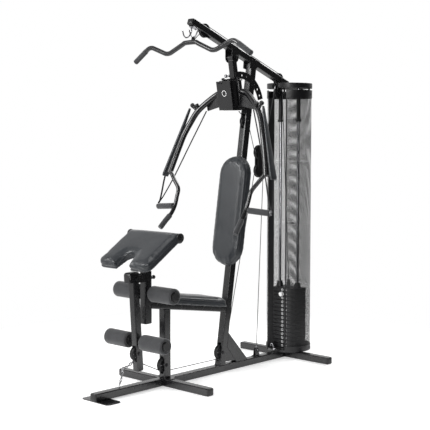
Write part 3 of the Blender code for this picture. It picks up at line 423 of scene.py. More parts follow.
class Shape:
    """Collects solids in world coordinates and turns them into one piece."""

    def __init__(self):
        self.verts, self.faces = [], []

    def add(self, verts, faces, matrix=Matrix()):
        base = len(self.verts)
        self.verts += [matrix @ Vector(v) for v in verts]
        self.faces += [[base + i for i in face] for face in faces]
        return self

    def turn(self, profile, matrix, steps=36):
        """Spin (radius, height) pairs about local Z; a profile off the axis closes into a ring."""
        verts, rows = [], []
        for radius, height in profile:
            if radius < 1e-9:
                rows.append([len(verts)] * steps)
                verts.append((0, 0, height))
                continue
            rows.append([len(verts) + i for i in range(steps)])
            verts += [(radius * math.cos(t), radius * math.sin(t), height)
                      for t in (2 * math.pi * i / steps for i in range(steps))]
        pairs = list(zip(rows, rows[1:]))
        if profile[0][0] > 1e-9 and profile[-1][0] > 1e-9:
            pairs.append((rows[-1], rows[0]))
        faces = []
        for low, high in pairs:
            for i in range(steps):
                j = (i + 1) % steps
                faces.append(list(dict.fromkeys((low[i], low[j], high[j], high[i]))))
        return self.add(verts, faces, matrix)

    def rod(self, path, radius, sides=16, squeeze=1.0, closed=False, up=None):
        """A rod along a path; radius may be a list, and squeeze flattens its section."""
        path = [Vector(p) for p in path]
        count = len(path)
        radii = list(radius) if isinstance(radius, (list, tuple)) else [radius] * count
        if closed:
            steps = [path[(i + 1) % count] - path[i - 1] for i in range(count)]
        else:
            steps = [path[min(i + 1, count - 1)] - path[max(i - 1, 0)] for i in range(count)]
        normal = Vector(up) if up else steps[0].orthogonal()
        verts = []
        for point, step, size in zip(path, steps, radii):
            tangent = step.normalized()
            normal = (normal - tangent * normal.dot(tangent)).normalized()
            side = tangent.cross(normal)
            for i in range(sides):
                t = 2 * math.pi * i / sides
                verts.append(point + size * (math.cos(t) * normal + squeeze * math.sin(t) * side))
        faces = []
        for row in range(count if closed else count - 1):
            faces += band(row * sides, (row + 1) % count * sides, sides)
        if not closed:
            faces += [tuple(range(sides))[::-1], tuple(range((count - 1) * sides, count * sides))]
        return self.add(verts, faces)

    def loft(self, rings, matrix=Matrix()):
        """A skin over rings of equally many points, closed at both ends."""
        count, last = len(rings[0]), len(rings) - 1
        faces = [tuple(range(count))[::-1], tuple(range(last * count, (last + 1) * count))]
        for row in range(last):
            faces += band(row * count, (row + 1) * count, count)
        return self.add([point for ring in rings for point in ring], faces, matrix)

    def slab(self, outline, thickness, matrix):
        """A flat outline extruded evenly to both sides of its plane."""
        return self.loft([[(x, y, s * thickness / 2) for x, y in outline] for s in (-1, 1)], matrix)

    def block(self, size, matrix):
        """A box centred on the matrix."""
        return self.slab(rounded(size[0], size[1], 0.0002, 1), size[2], matrix)

    def bolt(self, at, direction, size=0.007, washer=True):
        """A hexagon head, on a washer unless told otherwise."""
        place = along(at, direction)
        base = 0.0012 if washer else 0.0
        top = base + size * 0.72
        if washer:
            rim = size * 1.55
            self.turn([(0, 0), (rim, 0), (rim, base * 0.7), (size * 1.4, base), (0, base)], place, 24)
        head = [(0, base), (size, base), (size, base + size * 0.55), (size * 0.86, top), (0, top)]
        return self.turn(head, place, 6)

    def bolts(self, centre, offset, size, washer=True):
        """The same bolt to the left and right of a point, heads facing outward."""
        for side, _ in SIDES:
            self.bolt(Vector(centre) + side * offset * X_AXIS, side * X_AXIS, size, washer)
        return self

    def piece(self, name, finish, body, bevel=0.0, replaces=(), sharp=38):
        """Make the object, smooth with sharp edges kept, give it its finish, and ride it on a body."""
        mesh = bpy.data.meshes.new(name)
        mesh.from_pydata([tuple(v) for v in self.verts], [], self.faces)
        return finished(name, mesh, finish, body, bevel, replaces, sharp)


def finished(name, mesh, finish, body, bevel=0.0, replaces=(), sharp=38):
    """Clean a mesh and make it a piece, riding on a body if one is given."""
    with editing(mesh) as work:
        bmesh.ops.remove_doubles(work, verts=work.verts, dist=1e-6)
        bmesh.ops.recalc_face_normals(work, faces=work.faces)
    mesh.shade_smooth()
    mesh.set_sharp_from_angle(angle=math.radians(sharp))
    mesh.materials.clear()
    mesh.materials.append(look(finish))
    made = placed(name, mesh)
    if bevel:
        edges = made.modifiers.new("edges", "BEVEL")
        edges.width, edges.segments = bevel, 2
        edges.limit_method, edges.angle_limit = "ANGLE", math.radians(35)
        edges.harden_normals = True
        edges.use_clamp_overlap = True
    if body:
        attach(made, body)
    if replaces:
        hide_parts(*replaces)
    return made


def dress(nodes, finish):
    """Give CAD nodes that stay their material, fine edges and smooth rounds."""
    for node in nodes:
        obj = frame["nodes"][node]
        for attribute in ("custom_normal", "sharp_face", "sharp_edge"):
            if attribute in obj.data.attributes:
                obj.data.attributes.remove(obj.data.attributes[attribute])
        obj.data.materials.clear()
        obj.data.materials.append(look(finish))
        weld = obj.modifiers.new("weld", "WELD")
        weld.merge_threshold = 1e-5
        edges = obj.modifiers.new("edges", "BEVEL")
        edges.width, edges.segments = TUBE_EDGE, 2
        edges.limit_method, edges.angle_limit = "ANGLE", math.radians(34)
        obj.data.shade_smooth()
        normals = obj.modifiers.new("normals", "WEIGHTED_NORMAL")
        normals.mode, normals.weight = "FACE_AREA", 100


# ---------------------------------------------------------------- frame
DRESSED = {
    "black_steel": ("main_rail", "foot_rail", "foot_plate", "front_stabilizer", "rear_stabilizer",
                    "post_brace", "main_post", "top_beam", "seat_post", "seat_tube", "curl_receiver",
                    "curl_post", "leg_bracket", "leg_lever", "stack_base", "press_bracket", "press_lever",
                    "press_yoke", "press_quadrant"),
    "black_plastic": ("stack_cap", "shroud_top_ring", "shroud_bottom_ring", "block_frame"),
}


def plug(shape, end, direction, width, height, depth, across):
    """A moulded cap with a crowned face over a tube's end."""
    layers = [(0.0003, -0.0006), (depth * 0.35, -0.0006), (depth * 0.8, -0.0036), (depth, -0.0086)]
    rings = []
    for z, out in layers:
        outline = rounded(width + 2 * out, height + 2 * out, max(0.004, 0.009 + out), 4)
        rings.append([(x, y, z) for x, y in outline])
    shape.loft(rings, along(end, direction, across))


def make_caps():
    """Moulded end caps of the floor tubes, the beam, the receiver and the leg lever."""
    floor_tube, lever_tube = (TUBE, RAIL_H), (0.045, 0.045)
    caps = []
    for label in ("front", "rear"):
        node = label + "_stabilizer"
        for (side, name), corner in zip(SIDES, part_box(node)):
            end = Vector((corner.x, middle(node).y, middle(node).z))
            caps.append((f"{label}_cap_{name}", "frame", end, side * X_AXIS, floor_tube, 0.009, Y_AXIS, 0))
    rail_end = Vector((0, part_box("foot_rail")[0].y, middle("foot_rail").z))
    beam_tip = on_beam(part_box("top_beam")[0].y + 0.007)
    receiver_foot = Vector((0, middle("curl_receiver").y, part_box("curl_receiver")[0].z))
    caps += [("foot_rail_cap", "frame", rail_end, -Y_AXIS, floor_tube, 0.007, X_AXIS, 0),
             ("beam_tip_cap", "frame", beam_tip, -BEAM_BACK, (TUBE, BEAM_H), 0.016, X_AXIS, 0.001),
             ("receiver_cap", "frame", receiver_foot, -Z_AXIS, (TUBE, TUBE), 0.005, X_AXIS, 0),
             ("leg_lever_cap", "leg_lever", on_leg(0.53), on_leg(1) - on_leg(0), lever_tube, 0.005, X_AXIS, 0)]
    for name, body, end, direction, size, depth, across, bevel in caps:
        cap = Shape()
        plug(cap, end, direction, *size, depth, across)
        cap.piece(name, "black_plastic", body, bevel)


def weld_bead(shape, outline, matrix):
    """A rippled weld bead round a closed outline."""
    path = []
    for a, b in zip(outline, outline[1:] + outline[:1]):
        x, y, across, up = *a, b[0] - a[0], b[1] - a[1]
        steps = max(1, round(math.hypot(across, up) / 0.0025))
        path += [matrix @ Vector((x + across * i / steps, y + up * i / steps, 0)) for i in range(steps)]
    sizes = [WELD_R * (1 + 0.22 * math.sin(i * 2.1)) for i in range(len(path))]
    shape.rod(path, sizes, 6, closed=True)


def make_welds():
    """Weld beads where tubes meet on the frame."""
    beads = Shape()
    around, rail_top = TUBE + 0.001, RAIL_H + 0.0008
    seat_foot = Vector((0, middle("seat_post").y, rail_top))
    seat_top = Vector((0, seat_foot.y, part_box("seat_post")[1].z - 0.006))
    for depth, place in ((TUBE / math.cos(POST_LEAN) + 0.001, along(on_post(rail_top / math.cos(POST_LEAN)))),
                         (around, along(seat_foot)),
                         (around, Matrix.Translation(seat_top) @ Matrix.Rotation(-POST_LEAN, 4, "X")),
                         (0.039, along(on_post(0.3937, TUBE / 2 + 0.0006), POST_FRONT))):
        weld_bead(beads, rounded(around, depth, 0.006, 3), place)
    beads.piece("weld_beads", "black_steel", "frame")


def make_bolts():
    """Bolts and nuts of the frame, and the pulley axles' heads."""
    heads = Shape()
    for joint in ("post_low_pulley_spin", "seat_post_pulley_spin", "post_upper_pulley_spin",
                  "lat_front_pulley_spin", "lat_rear_pulley_spin"):
        heads.bolts(pivot(joint), HEAD_OUT, 0.0075)
    for y, z in ((0.085, 0.118), (0.06, 0.19)):
        heads.bolts((0, y, z), 0.0152, 0.0055)
    for y in (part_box("front_stabilizer")[0].y - 0.03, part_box("front_stabilizer")[1].y + 0.03,
              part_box("rear_stabilizer")[0].y - 0.035):
        heads.bolts((0, y, 0.026), HEAD_OUT, 0.0065)
    for side, _ in SIDES:
        for node in ("front_stabilizer", "rear_stabilizer"):
            heads.bolt((side * 0.042, middle(node).y, RAIL_H + 0.0002), Z_AXIS, 0.0065)
    for up in (0.74, 0.9, 1.24):
        heads.bolt(on_post(up, -HEAD_OUT), -POST_FRONT, 0.0065)
    for side, _ in SIDES:
        for at, offset, size in ((pivot("press_swing"), 0.0362, 0.011), (pivot("leg_extension"), 0.0312, 0.009),
                                 (on_beam(POST_HEAD_Y) - 0.022 * BEAM_BACK, HEAD_OUT, 0.0065),
                                 (on_beam(POST_HEAD_Y) + 0.022 * BEAM_BACK, HEAD_OUT, 0.0065)):
            heads.bolt(at + side * offset * X_AXIS, side * X_AXIS, size)
    heads.piece("frame_bolts", "black_oxide", "frame", 0.0003)


def make_brackets():
    """Pressed plates: gussets at the post's head and corner plates of the base."""
    plates = Shape()
    for side, _ in SIDES:
        outline = arc((0.04, 0), 0.018, 90, -90, 8) + [(0.02, -0.05), (-0.03, -0.056)]
        outline += arc((-0.04, 0), 0.018, 270, 90, 8)
        plates.slab(outline, 0.0035, side_plane(on_beam(POST_HEAD_Y, 0, side * 0.0272), -BEAM_SLOPE))
        for node, reach in (("front_stabilizer", 1), ("rear_stabilizer", -1)):
            corner = ((0.0262, -0.0245), (0.068, -0.0245), (0.068, 0.0245), (0.05, 0.03), (0.0262, 0.062))
            outline = [(side * x, reach * y) for x, y in corner]
            plates.slab(outline, 0.003, Matrix.Translation((0, middle(node).y, RAIL_H + 0.0019)))
    plates.piece("gusset_plates", "black_steel", "frame", 0.0006)


# ---------------------------------------------------------------- pulleys, block and cables
PULLEYS = ("lat_front_pulley", "lat_rear_pulley", "post_upper_pulley", "post_low_pulley", "seat_post_pulley",
           "leg_pulley", "block_upper_pulley", "block_lower_pulley")


def pulley(node):
    """A grooved nylon wheel with a dished web, round windows and a steel bearing."""
    low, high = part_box(node)
    radius, half = (high.z - low.z) / 2, (high.x - low.x) / 2
    place = along(pivot(f"{node}_spin"), X_AXIS, Y_AXIS)
    groove = [(radius - 0.008 - 0.0028 * math.cos(t) + 0.0028, 0.0036 * math.sin(t)) for t in
              (math.radians(a) for a in (50, 25, 0, -25, -50))]
    lip = [(radius - 0.0002, half - 0.001), (radius - 0.0012, half - 0.0001)]
    hub = 0.0125
    side = [(radius - 0.009, half - 0.0002), (radius - 0.011, half - 0.0042), (hub + 0.002, half - 0.0042),
            (hub, half - 0.0006), (0.0088, half - 0.0004)]
    near = side[::-1] + lip[::-1] + [(radius, half - 0.0034)]
    wheel = Shape().turn(near + groove + [(r, -z) for r, z in near[::-1]], place, 56)
    wheel.piece(node + "_wheel", "black_plastic", node, 0, (node,), 32)
    bearing = Shape().turn(both_ways([(BOLT_R + 0.0005, half - 0.0006), (0.0086, half - 0.0006)]), place, 32)
    for index in range(6):
        turned = place @ Matrix.Rotation(math.radians(60 * index), 4, "Z")
        bearing.block((radius * 0.34, 0.003, 2 * half - 0.0035),
                      turned @ Matrix.Translation((radius * 0.52, 0, 0)))
    bearing.piece(node + "_bearing", "zinc", node, 0.0002)


def wrap(joint, radius, start, stop, steps):
    """Cable points round a pulley in the middle plane, degrees from +Y towards +Z."""
    centre = pivot(joint)
    return [Vector((0, y, z)) for y, z in arc((centre.y, centre.z), radius - GROOVE, start, stop, steps)]


def straight(start, end):
    """Evenly spaced points of a taut run."""
    steps = 24
    return [start.lerp(end, i / steps) for i in range(steps)] + [end]


def make_cables():
    """The three coated cables in place of the plain rods; each taut run is a straight rod baked in place,
    riding on no body.
    """
    slope = math.degrees(BEAM_SLOPE)
    stem = Vector((0, STACK_Y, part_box("lifted_plates")[1].z + 0.0025))
    over_front = wrap("lat_front_pulley_spin", 0.042, 205, 90 - slope, 20)
    over_rear = wrap("lat_rear_pulley_spin", 0.042, 90 - slope, 2, 16)
    over_upper = wrap("post_upper_pulley_spin", 0.036, 110, 14, 16)
    under_block = wrap("block_upper_pulley_spin", 0.046, 196, 340, 24)
    past_seat = wrap("seat_post_pulley_spin", 0.046, 250, 270, 6)
    past_post = wrap("post_low_pulley_spin", 0.046, 270, 345, 14)
    over_block = wrap("block_lower_pulley_spin", 0.046, 166, 0, 28)
    bar_end, lever_end = Vector((0, -0.206, 2.034)), on_press(0.01, -0.3205) + Vector((0, 0.02, -0.01))
    leg_end, cap_end = on_leg(0.5, -0.03), Vector((0, 0.545, 1.79))
    rail_end = Vector((0, CABLE_FOOT_Y, RAIL_H + 0.045))
    runs = (("high_cable_front", "lat_bar", bar_end, over_front[0], "frame"),
            ("high_cable_rear", "frame", over_rear[-1], stem, "lifted_weights"),
            ("press_cable_front", "press_lever", lever_end, over_upper[0], "frame"),
            ("press_cable_drop", "frame", over_upper[-1], under_block[0], "pulley_block"),
            ("press_cable_rise", "pulley_block", under_block[-1], cap_end, "frame"),
            ("low_cable_front", "leg_lever", leg_end, past_seat[0], "frame"),
            ("low_cable_rise", "frame", past_post[-1], over_block[0], "pulley_block"),
            ("low_cable_drop", "pulley_block", over_block[-1], rail_end, "frame"))
    for name, start_body, start, end, end_body in runs:
        run = Shape().rod(straight(start, end), CABLE_R, 12)
        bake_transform(run.piece(name, "cable", None, 0, (), 50))
    for name, path, body, node in (("high_cable_rope", over_front + over_rear, "frame", "high_cable"),
                                   ("press_cable_rope", over_upper, "frame", "press_cable"),
                                   ("press_cable_turn", under_block, "pulley_block", None),
                                   ("low_cable_rope", past_seat + past_post, "frame", "low_cable"),
                                   ("low_cable_turn", over_block, "pulley_block", None)):
        Shape().rod(path, CABLE_R, 12).piece(name, "cable", body, 0, (node,) if node else (), 50)
    for body, ends in (("lat_bar", ((bar_end, over_front[0]),)),
                       ("lifted_weights", ((stem, over_rear[-1]),)),
                       ("press_lever", ((lever_end, over_upper[0]),)),
                       ("leg_lever", ((leg_end, past_seat[0]),)),
                       ("frame", ((cap_end, under_block[-1]), (rail_end, over_block[-1])))):
        ferrules = Shape()
        for point, toward in ends:
            ferrules.turn([(0, 0), (0.0034, 0), (0.0034, 0.02), (0.003, 0.023), (0, 0.023)],
                          along(point, toward - point), 16)
        ferrules.piece(f"cable_ferrules_{body}", "zinc", body, 0.0002)


def make_cable_anchor():
    """Lugs and pin on the main rail that hold the low cable's end."""
    anchor = Shape()
    base = Vector((0, CABLE_FOOT_Y, RAIL_H + 0.0005))
    for side, _ in SIDES:
        outline = arc((0, 0.04), 0.013, 0, 180, 10) + [(-0.02, 0), (0.02, 0)]
        anchor.slab(outline, 0.003, side_plane(base + side * 0.0095 * X_AXIS))
    anchor.slab(rounded(0.046, 0.052, 0.006), 0.003, Matrix.Translation(base + Vector((0, 0, 0.0015))))
    anchor.piece("cable_anchor", "black_steel", "frame", 0.0005)
    axle_at = base + 0.04 * Z_AXIS
    pin = Shape().turn(disc(0.0045, -0.015, 0.015), along(axle_at, X_AXIS, Y_AXIS), 20)
    pin.bolts(axle_at, 0.0112, 0.006, False)
    pin.piece("cable_anchor_pin", "zinc", "frame", 0.0002)


def make_block():
    """Screws of the floating block."""
    screws = Shape()
    for joint in ("block_upper_pulley_spin", "block_lower_pulley_spin"):
        screws.bolts(pivot(joint), 0.0152, 0.0072)
    screws.piece("block_screws", "black_oxide", "pulley_block", 0.0003)


# ---------------------------------------------------------------- weight stack
def lattice(name, plan, low, high, nodes):
    """A thin sheet of diamond holes over a plan line of points, walked at even spacing."""
    lengths = np.cumsum([0] + [math.dist(a, b) for a, b in zip(plan, plan[1:])])
    columns = 2 * round(lengths[-1] / SHROUD_CELL_W)
    rows = 2 * round((high - low) / SHROUD_CELL_H)
    column_step, row_step = lengths[-1] / columns, (high - low) / rows
    plan = np.array(plan)

    def at(i, j):
        span = np.asarray(i) * column_step
        return np.stack([np.interp(span, lengths, plan[:, 0]), np.interp(span, lengths, plan[:, 1]),
                         low + np.asarray(j) * row_step], -1)

    i, j = np.meshgrid(np.arange(columns + 1), np.arange(rows + 1), indexing="ij")
    number = np.cumsum(((i + j) % 2 == 0).ravel()).reshape(i.shape) - 1
    joint = (i + j) % 2 == 0
    hole = ~joint & (i > 0) & (i < columns) & (j > 0) & (j < rows)
    hole_i, hole_j = i[hole], j[hole]
    corners = ((-1, 0), (0, -1), (1, 0), (0, 1))
    outer = np.stack([number[hole_i + a, hole_j + b] for a, b in corners], 1)
    inner = joint.sum() + np.arange(4 * len(hole_i)).reshape(-1, 4)
    share = SHROUD_OPEN_SHARE
    verts = [at(i[joint], j[joint]),
             np.stack([at(hole_i + a * share, hole_j + b * share) for a, b in corners], 1).reshape(-1, 3)]
    faces = [np.stack([outer[:, k], outer[:, (k + 1) % 4], inner[:, (k + 1) % 4], inner[:, k]], 1)
             for k in range(4)]
    mesh = bpy.data.meshes.new(name)
    mesh.from_pydata(np.concatenate(verts).tolist(), [], np.concatenate(faces).tolist())
    mesh.materials.append(look("mesh_steel"))
    made = placed(name, mesh)
    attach(made, "frame")
    if nodes:
        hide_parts(*nodes)


def make_shroud():
    """Perforated sheet shroud with plain folded edges, in place of the plain sheet."""
    low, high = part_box("shroud")
    start, stop = -90 + math.degrees(SHROUD_OPENING), 270 - math.degrees(SHROUD_OPENING)
    radius = SHROUD_R - 0.0006
    wall = [(x, STACK_Y + y) for x, y in arc((0, 0), radius, start, stop, 96)]
    quarter = (high.z - low.z) / 4
    for index in range(4):
        bottom = low.z + index * quarter
        lattice(f"shroud_mesh_{index + 1}", wall, bottom, bottom + quarter, ("shroud",) if index == 0 else ())
    margins = Shape()
    for angle in (start, stop):
        a = math.radians(angle)
        rim = Vector((math.cos(a), math.sin(a), 0))
        outer = Vector((0, STACK_Y, 0)) + radius * rim
        inner = outer - SHROUD_FLANGE * rim
        centre = (outer + inner) / 2 + (low.z + high.z) / 2 * Z_AXIS
        half = SHROUD_FLANGE / 2
        margins.slab([(-half, -0.0006), (half, -0.0006), (half, 0.0006), (-half, 0.0006)], high.z - low.z,
                     Matrix.Translation(centre) @ Matrix.Rotation(a, 4, "Z"))
        for edge in (outer, inner):
            margins.rod([edge + low.z * Z_AXIS, edge + high.z * Z_AXIS], 0.0016, 10)
    margins.piece("shroud_edges", "mesh_steel", "frame")


def make_rods():
    """Guide rods with their top sleeves, in place of the plain rods."""
    bore, wide = ROD_R + 0.0003, ROD_R + 0.004
    foot = wide + 0.0065
    for side, label in SIDES:
        node = f"guide_rod_{label}"
        low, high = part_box(node)
        length = high.z - low.z
        rod = Shape().turn([(0, 0), (ROD_R - 0.001, 0), (ROD_R, 0.001), (ROD_R, length - 0.001),
                            (ROD_R - 0.001, length), (0, length)], along((side * ROD_X, STACK_Y, low.z)), 40)
        rod.piece(node + "_bar", "chrome", "frame", 0, (node,))
        profile = [(bore, 0), (foot - 0.001, 0), (foot, 0.002), (foot, 0.013), (foot - 0.001, 0.015),
                   (wide, 0.016), (wide, 0.205), (bore, 0.205)]
        sleeve = Shape().turn(profile, along((side * ROD_X, STACK_Y, 1.56)), 32)
        sleeve.piece(f"rod_sleeve_{label}", "black_plastic", "frame", 0.0004)


def make_stack():
    """Separate plates with rounded edges and blank marks, and the lifted pair with its stem fittings."""
    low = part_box("weight_plates")[0].z
    outline, raised = rounded(PLATE_W, PLATE_D, 0.012, 4), rounded(PLATE_W - 0.03, PLATE_D - 0.026, 0.01, 4)
    front = STACK_Y - PLATE_D / 2
    for index in range(PLATES_BELOW + 2):
        lifted = index >= PLATES_BELOW
        bottom = low + index * PLATE_PITCH + (GAP if lifted else 0)
        body = "lifted_weights" if lifted else "frame"
        height = bottom + PLATE_PITCH / 2
        plate = Shape()
        for flat, thickness in ((outline, PLATE_PITCH - 0.0022), (raised, PLATE_PITCH - 0.0008)):
            plate.slab(flat, thickness, Matrix.Translation((0, STACK_Y, height)))
        stands_for = {0: ("weight_plates",), PLATES_BELOW: ("lifted_plates",)}.get(index, ())
        plate.piece(f"weight_plate_{index + 1:02d}", "plate_iron", body, 0.0016, stands_for)
        mark = Shape().slab(rounded(0.013, 0.009, 0.002), 0.0004, along((0.03, front - GAP, height), -Y_AXIS))
        if not lifted or index > PLATES_BELOW:
            mark.turn([(0.0055, 0), (0.0078, 0), (0.0078, 0.0005), (0.0055, 0.0005)],
                      along((0, front + 0.0001, height), -Y_AXIS), 24)
        mark.piece(f"plate_mark_{index + 1:02d}", "white_mark", body)
    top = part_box("lifted_plates")[1].z
    plate_top = low + (PLATES_BELOW + 2) * PLATE_PITCH
    stem_h, bore = 0.052, ROD_R + 0.0009
    stem = Shape().turn([(0, 0), (0.021, 0), (0.021, 0.005), (0.013, 0.012), (0.0115, 0.044), (0.008, stem_h),
                         (0, stem_h)], along((0, STACK_Y, plate_top)), 32)
    stem.piece("stem_head", "black_oxide", "lifted_weights", 0.0004)
    for side, label in SIDES:
        profile = [(bore, 0), (0.0245, 0), (0.0225, 0.01), (0.018, 0.03), (0.017, 0.036), (bore, 0.036)]
        bush = Shape().turn(profile, along((side * ROD_X, STACK_Y, plate_top + 0.0002)), 32)
        bush.piece(f"top_bush_{label}", "black_plastic", "lifted_weights", 0.0006)
    stud = Shape().turn(disc(0.0042, 0, top - plate_top - stem_h + 0.014),
                        along((0, STACK_Y, plate_top + stem_h - 0.0002)), 20)
    stud.piece("cable_stud", "zinc", "lifted_weights", 0.0003)


def make_selector():
    """Selector pin with its turned knob, in place of the plain pin."""
    low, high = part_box("selector_pin")
    centre = middle("selector_pin")
    length = high.y - low.y
    grip = 0.024
    shaft = Shape().turn([(0, 0), (0.003, 0.0002), (0.0046, 0.004), (0.0048, 0.01), (0.0048, length - grip),
                          (0, length - grip)], along((0, high.y, centre.z), -Y_AXIS), 28)
    shaft.piece("selector_shaft", "chrome", "selector_pin", 0, ("selector_pin",))
    profile = [(0, 0), (0.013, 0), (0.0148, 0.0015), (0.0148, 0.019), (0.013, 0.0225), (0.01, 0.0238),
               (0, grip)]
    knob = Shape().turn(profile, along((0, low.y + grip + GAP, centre.z), -Y_AXIS), 36)
    knob.piece("selector_knob", "white_mark", "selector_pin")


def make_tower():
    """Cap and ring screws, cap posts, front guide pulley with its bracket, and the base hook."""
    def round_stack(degrees, reach, z):
        a = math.radians(degrees)
        out = Vector((math.cos(a), math.sin(a), 0))
        return Vector((0, STACK_Y, z)) + reach * out, out

    screws, posts = Shape(), Shape()
    cap_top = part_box("stack_cap")[1].z
    for angle in (40, 90, 140):
        screws.bolt(round_stack(angle, 0.105, cap_top + 0.0002)[0], Z_AXIS, 0.007)
    for z in (1.739, 0.0655):
        for angle in (20, 90, 160):
            screws.bolt(*round_stack(angle, SHROUD_R + 0.004, z), 0.0052, False)
    screws.piece("tower_screws", "black_oxide", "frame", 0.0003)
    for angle in (35, 90, 145):
        posts.turn(disc(0.007, 0, 0.0615), along(round_stack(angle, 0.128, 1.7155)[0]), 20)
    posts.piece("cap_posts", "black_steel", "frame", 0.0004)
    bracket = Shape()
    centre = Vector((0, 0.565, 1.745))
    for side, _ in SIDES:
        outline = arc((0, 0), 0.015, 180, 360, 8) + [(0.022, 0.062), (-0.022, 0.078)]
        bracket.slab(outline, 0.003, side_plane(centre + side * 0.0145 * X_AXIS))
    bracket.piece("guide_pulley_bracket", "black_steel", "frame", 0.0005)
    half = [(0.0055, 0.009), (0.033, 0.009), (0.034, 0.008), (0.0335, 0.0055), (0.028, 0.002)]
    axle = along(centre, X_AXIS, Y_AXIS)
    wheel = Shape().turn(both_ways(half), axle, 44)
    wheel.piece("guide_pulley", "black_plastic", "frame")
    bolt = Shape().turn(disc(0.0048, -0.018, 0.018), axle, 20).bolts(centre, 0.0162, 0.0068)
    bolt.piece("guide_pulley_bolt", "black_oxide", "frame", 0.0003)
    hook = Shape()
    route = [(0, 0.538, 0.07), (0.006, 0.528, 0.078), (0.01, 0.52, 0.092), (0.004, 0.516, 0.104),
             (-0.006, 0.518, 0.1), (-0.008, 0.522, 0.088)]
    hook.rod(smooth_path(route, 0.004), 0.0028, 12)
    hook.turn([(0, 0), (0.009, 0), (0.009, 0.006), (0.005, 0.01), (0, 0.01)],
              along((0, 0.546, 0.062), -Y_AXIS), 20)
    hook.piece("base_hook", "chrome", "frame")


# ---------------------------------------------------------------- pads
def surface_of(obj):
    """A lookup of the finished surface of a piece."""
    bpy.context.view_layer.update()
    shape = obj.evaluated_get(bpy.context.evaluated_depsgraph_get())
    mesh = shape.to_mesh()
    tree = BVHTree.FromPolygons([obj.matrix_world @ v.co for v in mesh.vertices],
                                [list(p.vertices) for p in mesh.polygons])
    shape.to_mesh_clear()
    return tree


def depth_inside(points, outline):
    """Distance of plan points from an outline's line."""
    line = np.array(even(outline, 0.003))
    return np.array([np.sqrt(((line - point) ** 2).sum(1).min()) for point in points])


def cushion(node, name, outline, place, thickness, body, cap, voxel=0.005, shoulder=0.02, crown=0.004):
    """Shape a pad from its CAD solid, then swell it by up to cap; local Z points out of the board."""
    made = placed(name, frame["nodes"][node].data.copy())
    with editing(made.data) as work:
        bmesh.ops.remove_doubles(work, verts=work.verts, dist=1e-5)
    remesh = made.modifiers.new("remesh", "REMESH")
    remesh.mode, remesh.voxel_size = "VOXEL", voxel
    graph = bpy.context.evaluated_depsgraph_get()
    made.data = bpy.data.meshes.new_from_object(made.evaluated_get(graph))
    made.modifiers.clear()

    to_local = place.inverted()
    out = (place.to_3x3() @ Z_AXIS).normalized()
    smooth = dict(factor=0.5, use_axis_x=True, use_axis_y=True, use_axis_z=True)
    with editing(made.data) as work:
        work.normal_update()
        local = [to_local @ v.co for v in work.verts]
        inside = depth_inside([(p.x, p.y) for p in local], outline)
        for vert, point, depth in zip(work.verts, local, inside):
            share = min(1.0, max(0.0, point.z / thickness))
            near = 1 - min(1.0, depth / shoulder)
            drop = shoulder * (1 - math.sqrt(max(0.0, 1 - near * near)))
            rise = crown * (1 - math.exp(-depth / 0.04))
            tuck = 0.003 * min(1.0, max(0.0, point.z - PAD_BOARD) / PAD_BOARD)
            vert.co += out * (rise - drop) * share - vert.normal * tuck
        free = [v for v, point in zip(work.verts, local) if point.z > PAD_BOARD]
        held = [v.index for v, point in zip(work.verts, local) if point.z <= PAD_BOARD]
        for _ in range(4):
            bmesh.ops.smooth_vert(work, verts=free, **smooth)
    swell(made, held, cap)
    fixed = set(held)
    with editing(made.data) as work:
        for _ in range(4):
            bmesh.ops.smooth_vert(work, verts=[v for v in work.verts if v.index not in fixed], **smooth)
    finer = made.modifiers.new("finer", "SUBSURF")
    finer.levels = finer.render_levels = 1
    made.data.materials.clear()
    made.data.materials.append(look("vinyl"))
    made.data.shade_smooth()
    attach(made, body)
    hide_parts(node)
    return surface_of(made)


def swell(made, held, cap):
    """Cloth simulation of a filled cover whose board side is held; no point moves further than cap."""
    rest = [v.co.copy() for v in made.data.vertices]
    made.vertex_groups.new(name="board").add(held, 1.0, "REPLACE")
    cloth = made.modifiers.new("cloth", "CLOTH")
    cloth.settings.vertex_group_mass = "board"
    cloth.settings.quality = 4
    cloth.settings.tension_stiffness = cloth.settings.compression_stiffness = 12
    cloth.settings.bending_stiffness = 0.6
    cloth.settings.use_pressure = True
    cloth.settings.uniform_pressure_force = 4
    cloth.settings.effector_weights.gravity = 0
    cloth.collision_settings.use_collision = False
    for step in range(1, 21):
        bpy.context.scene.frame_set(step)
    swollen = made.evaluated_get(bpy.context.evaluated_depsgraph_get()).data
    moved = [v.co.copy() for v in swollen.vertices]
    made.modifiers.clear()
    for vert, before, after in zip(made.data.vertices, rest, moved):
        move = after - before
        vert.co = before + move * min(1, cap / max(move.length, 1e-9))
    bpy.context.scene.frame_set(1)


def ring_hits(surface, outline, place, height, normals=False):
    """Points on a pad where rays from outside its outline, at one height, meet it."""
    outset = 0.06
    hits = []
    count = len(outline)
    for i in range(count):
        a, b = Vector(outline[i - 1]), Vector(outline[(i + 1) % count])
        out = Vector((b.y - a.y, a.x - b.x)).normalized()
        point = Vector(outline[i]) + outset * out
        start = place @ Vector((point.x, point.y, height))
        toward = (place.to_3x3() @ Vector((-out.x, -out.y, 0))).normalized()
        found, normal, _, _ = surface.ray_cast(start, toward, 2 * outset)
        if found:
            hits.append((found, normal) if normals else found + 0.0002 * normal)
    return hits


def even(outline, spacing):
    """A closed outline walked again at even spacing."""
    loop = list(outline) + [outline[0]]
    lengths = np.cumsum([0] + [math.dist(a, b) for a, b in zip(loop, loop[1:])])
    at = np.linspace(0, lengths[-1], round(lengths[-1] / spacing), endpoint=False)
    xs, ys = zip(*loop)
    return [(float(np.interp(t, lengths, xs)), float(np.interp(t, lengths, ys))) for t in at]


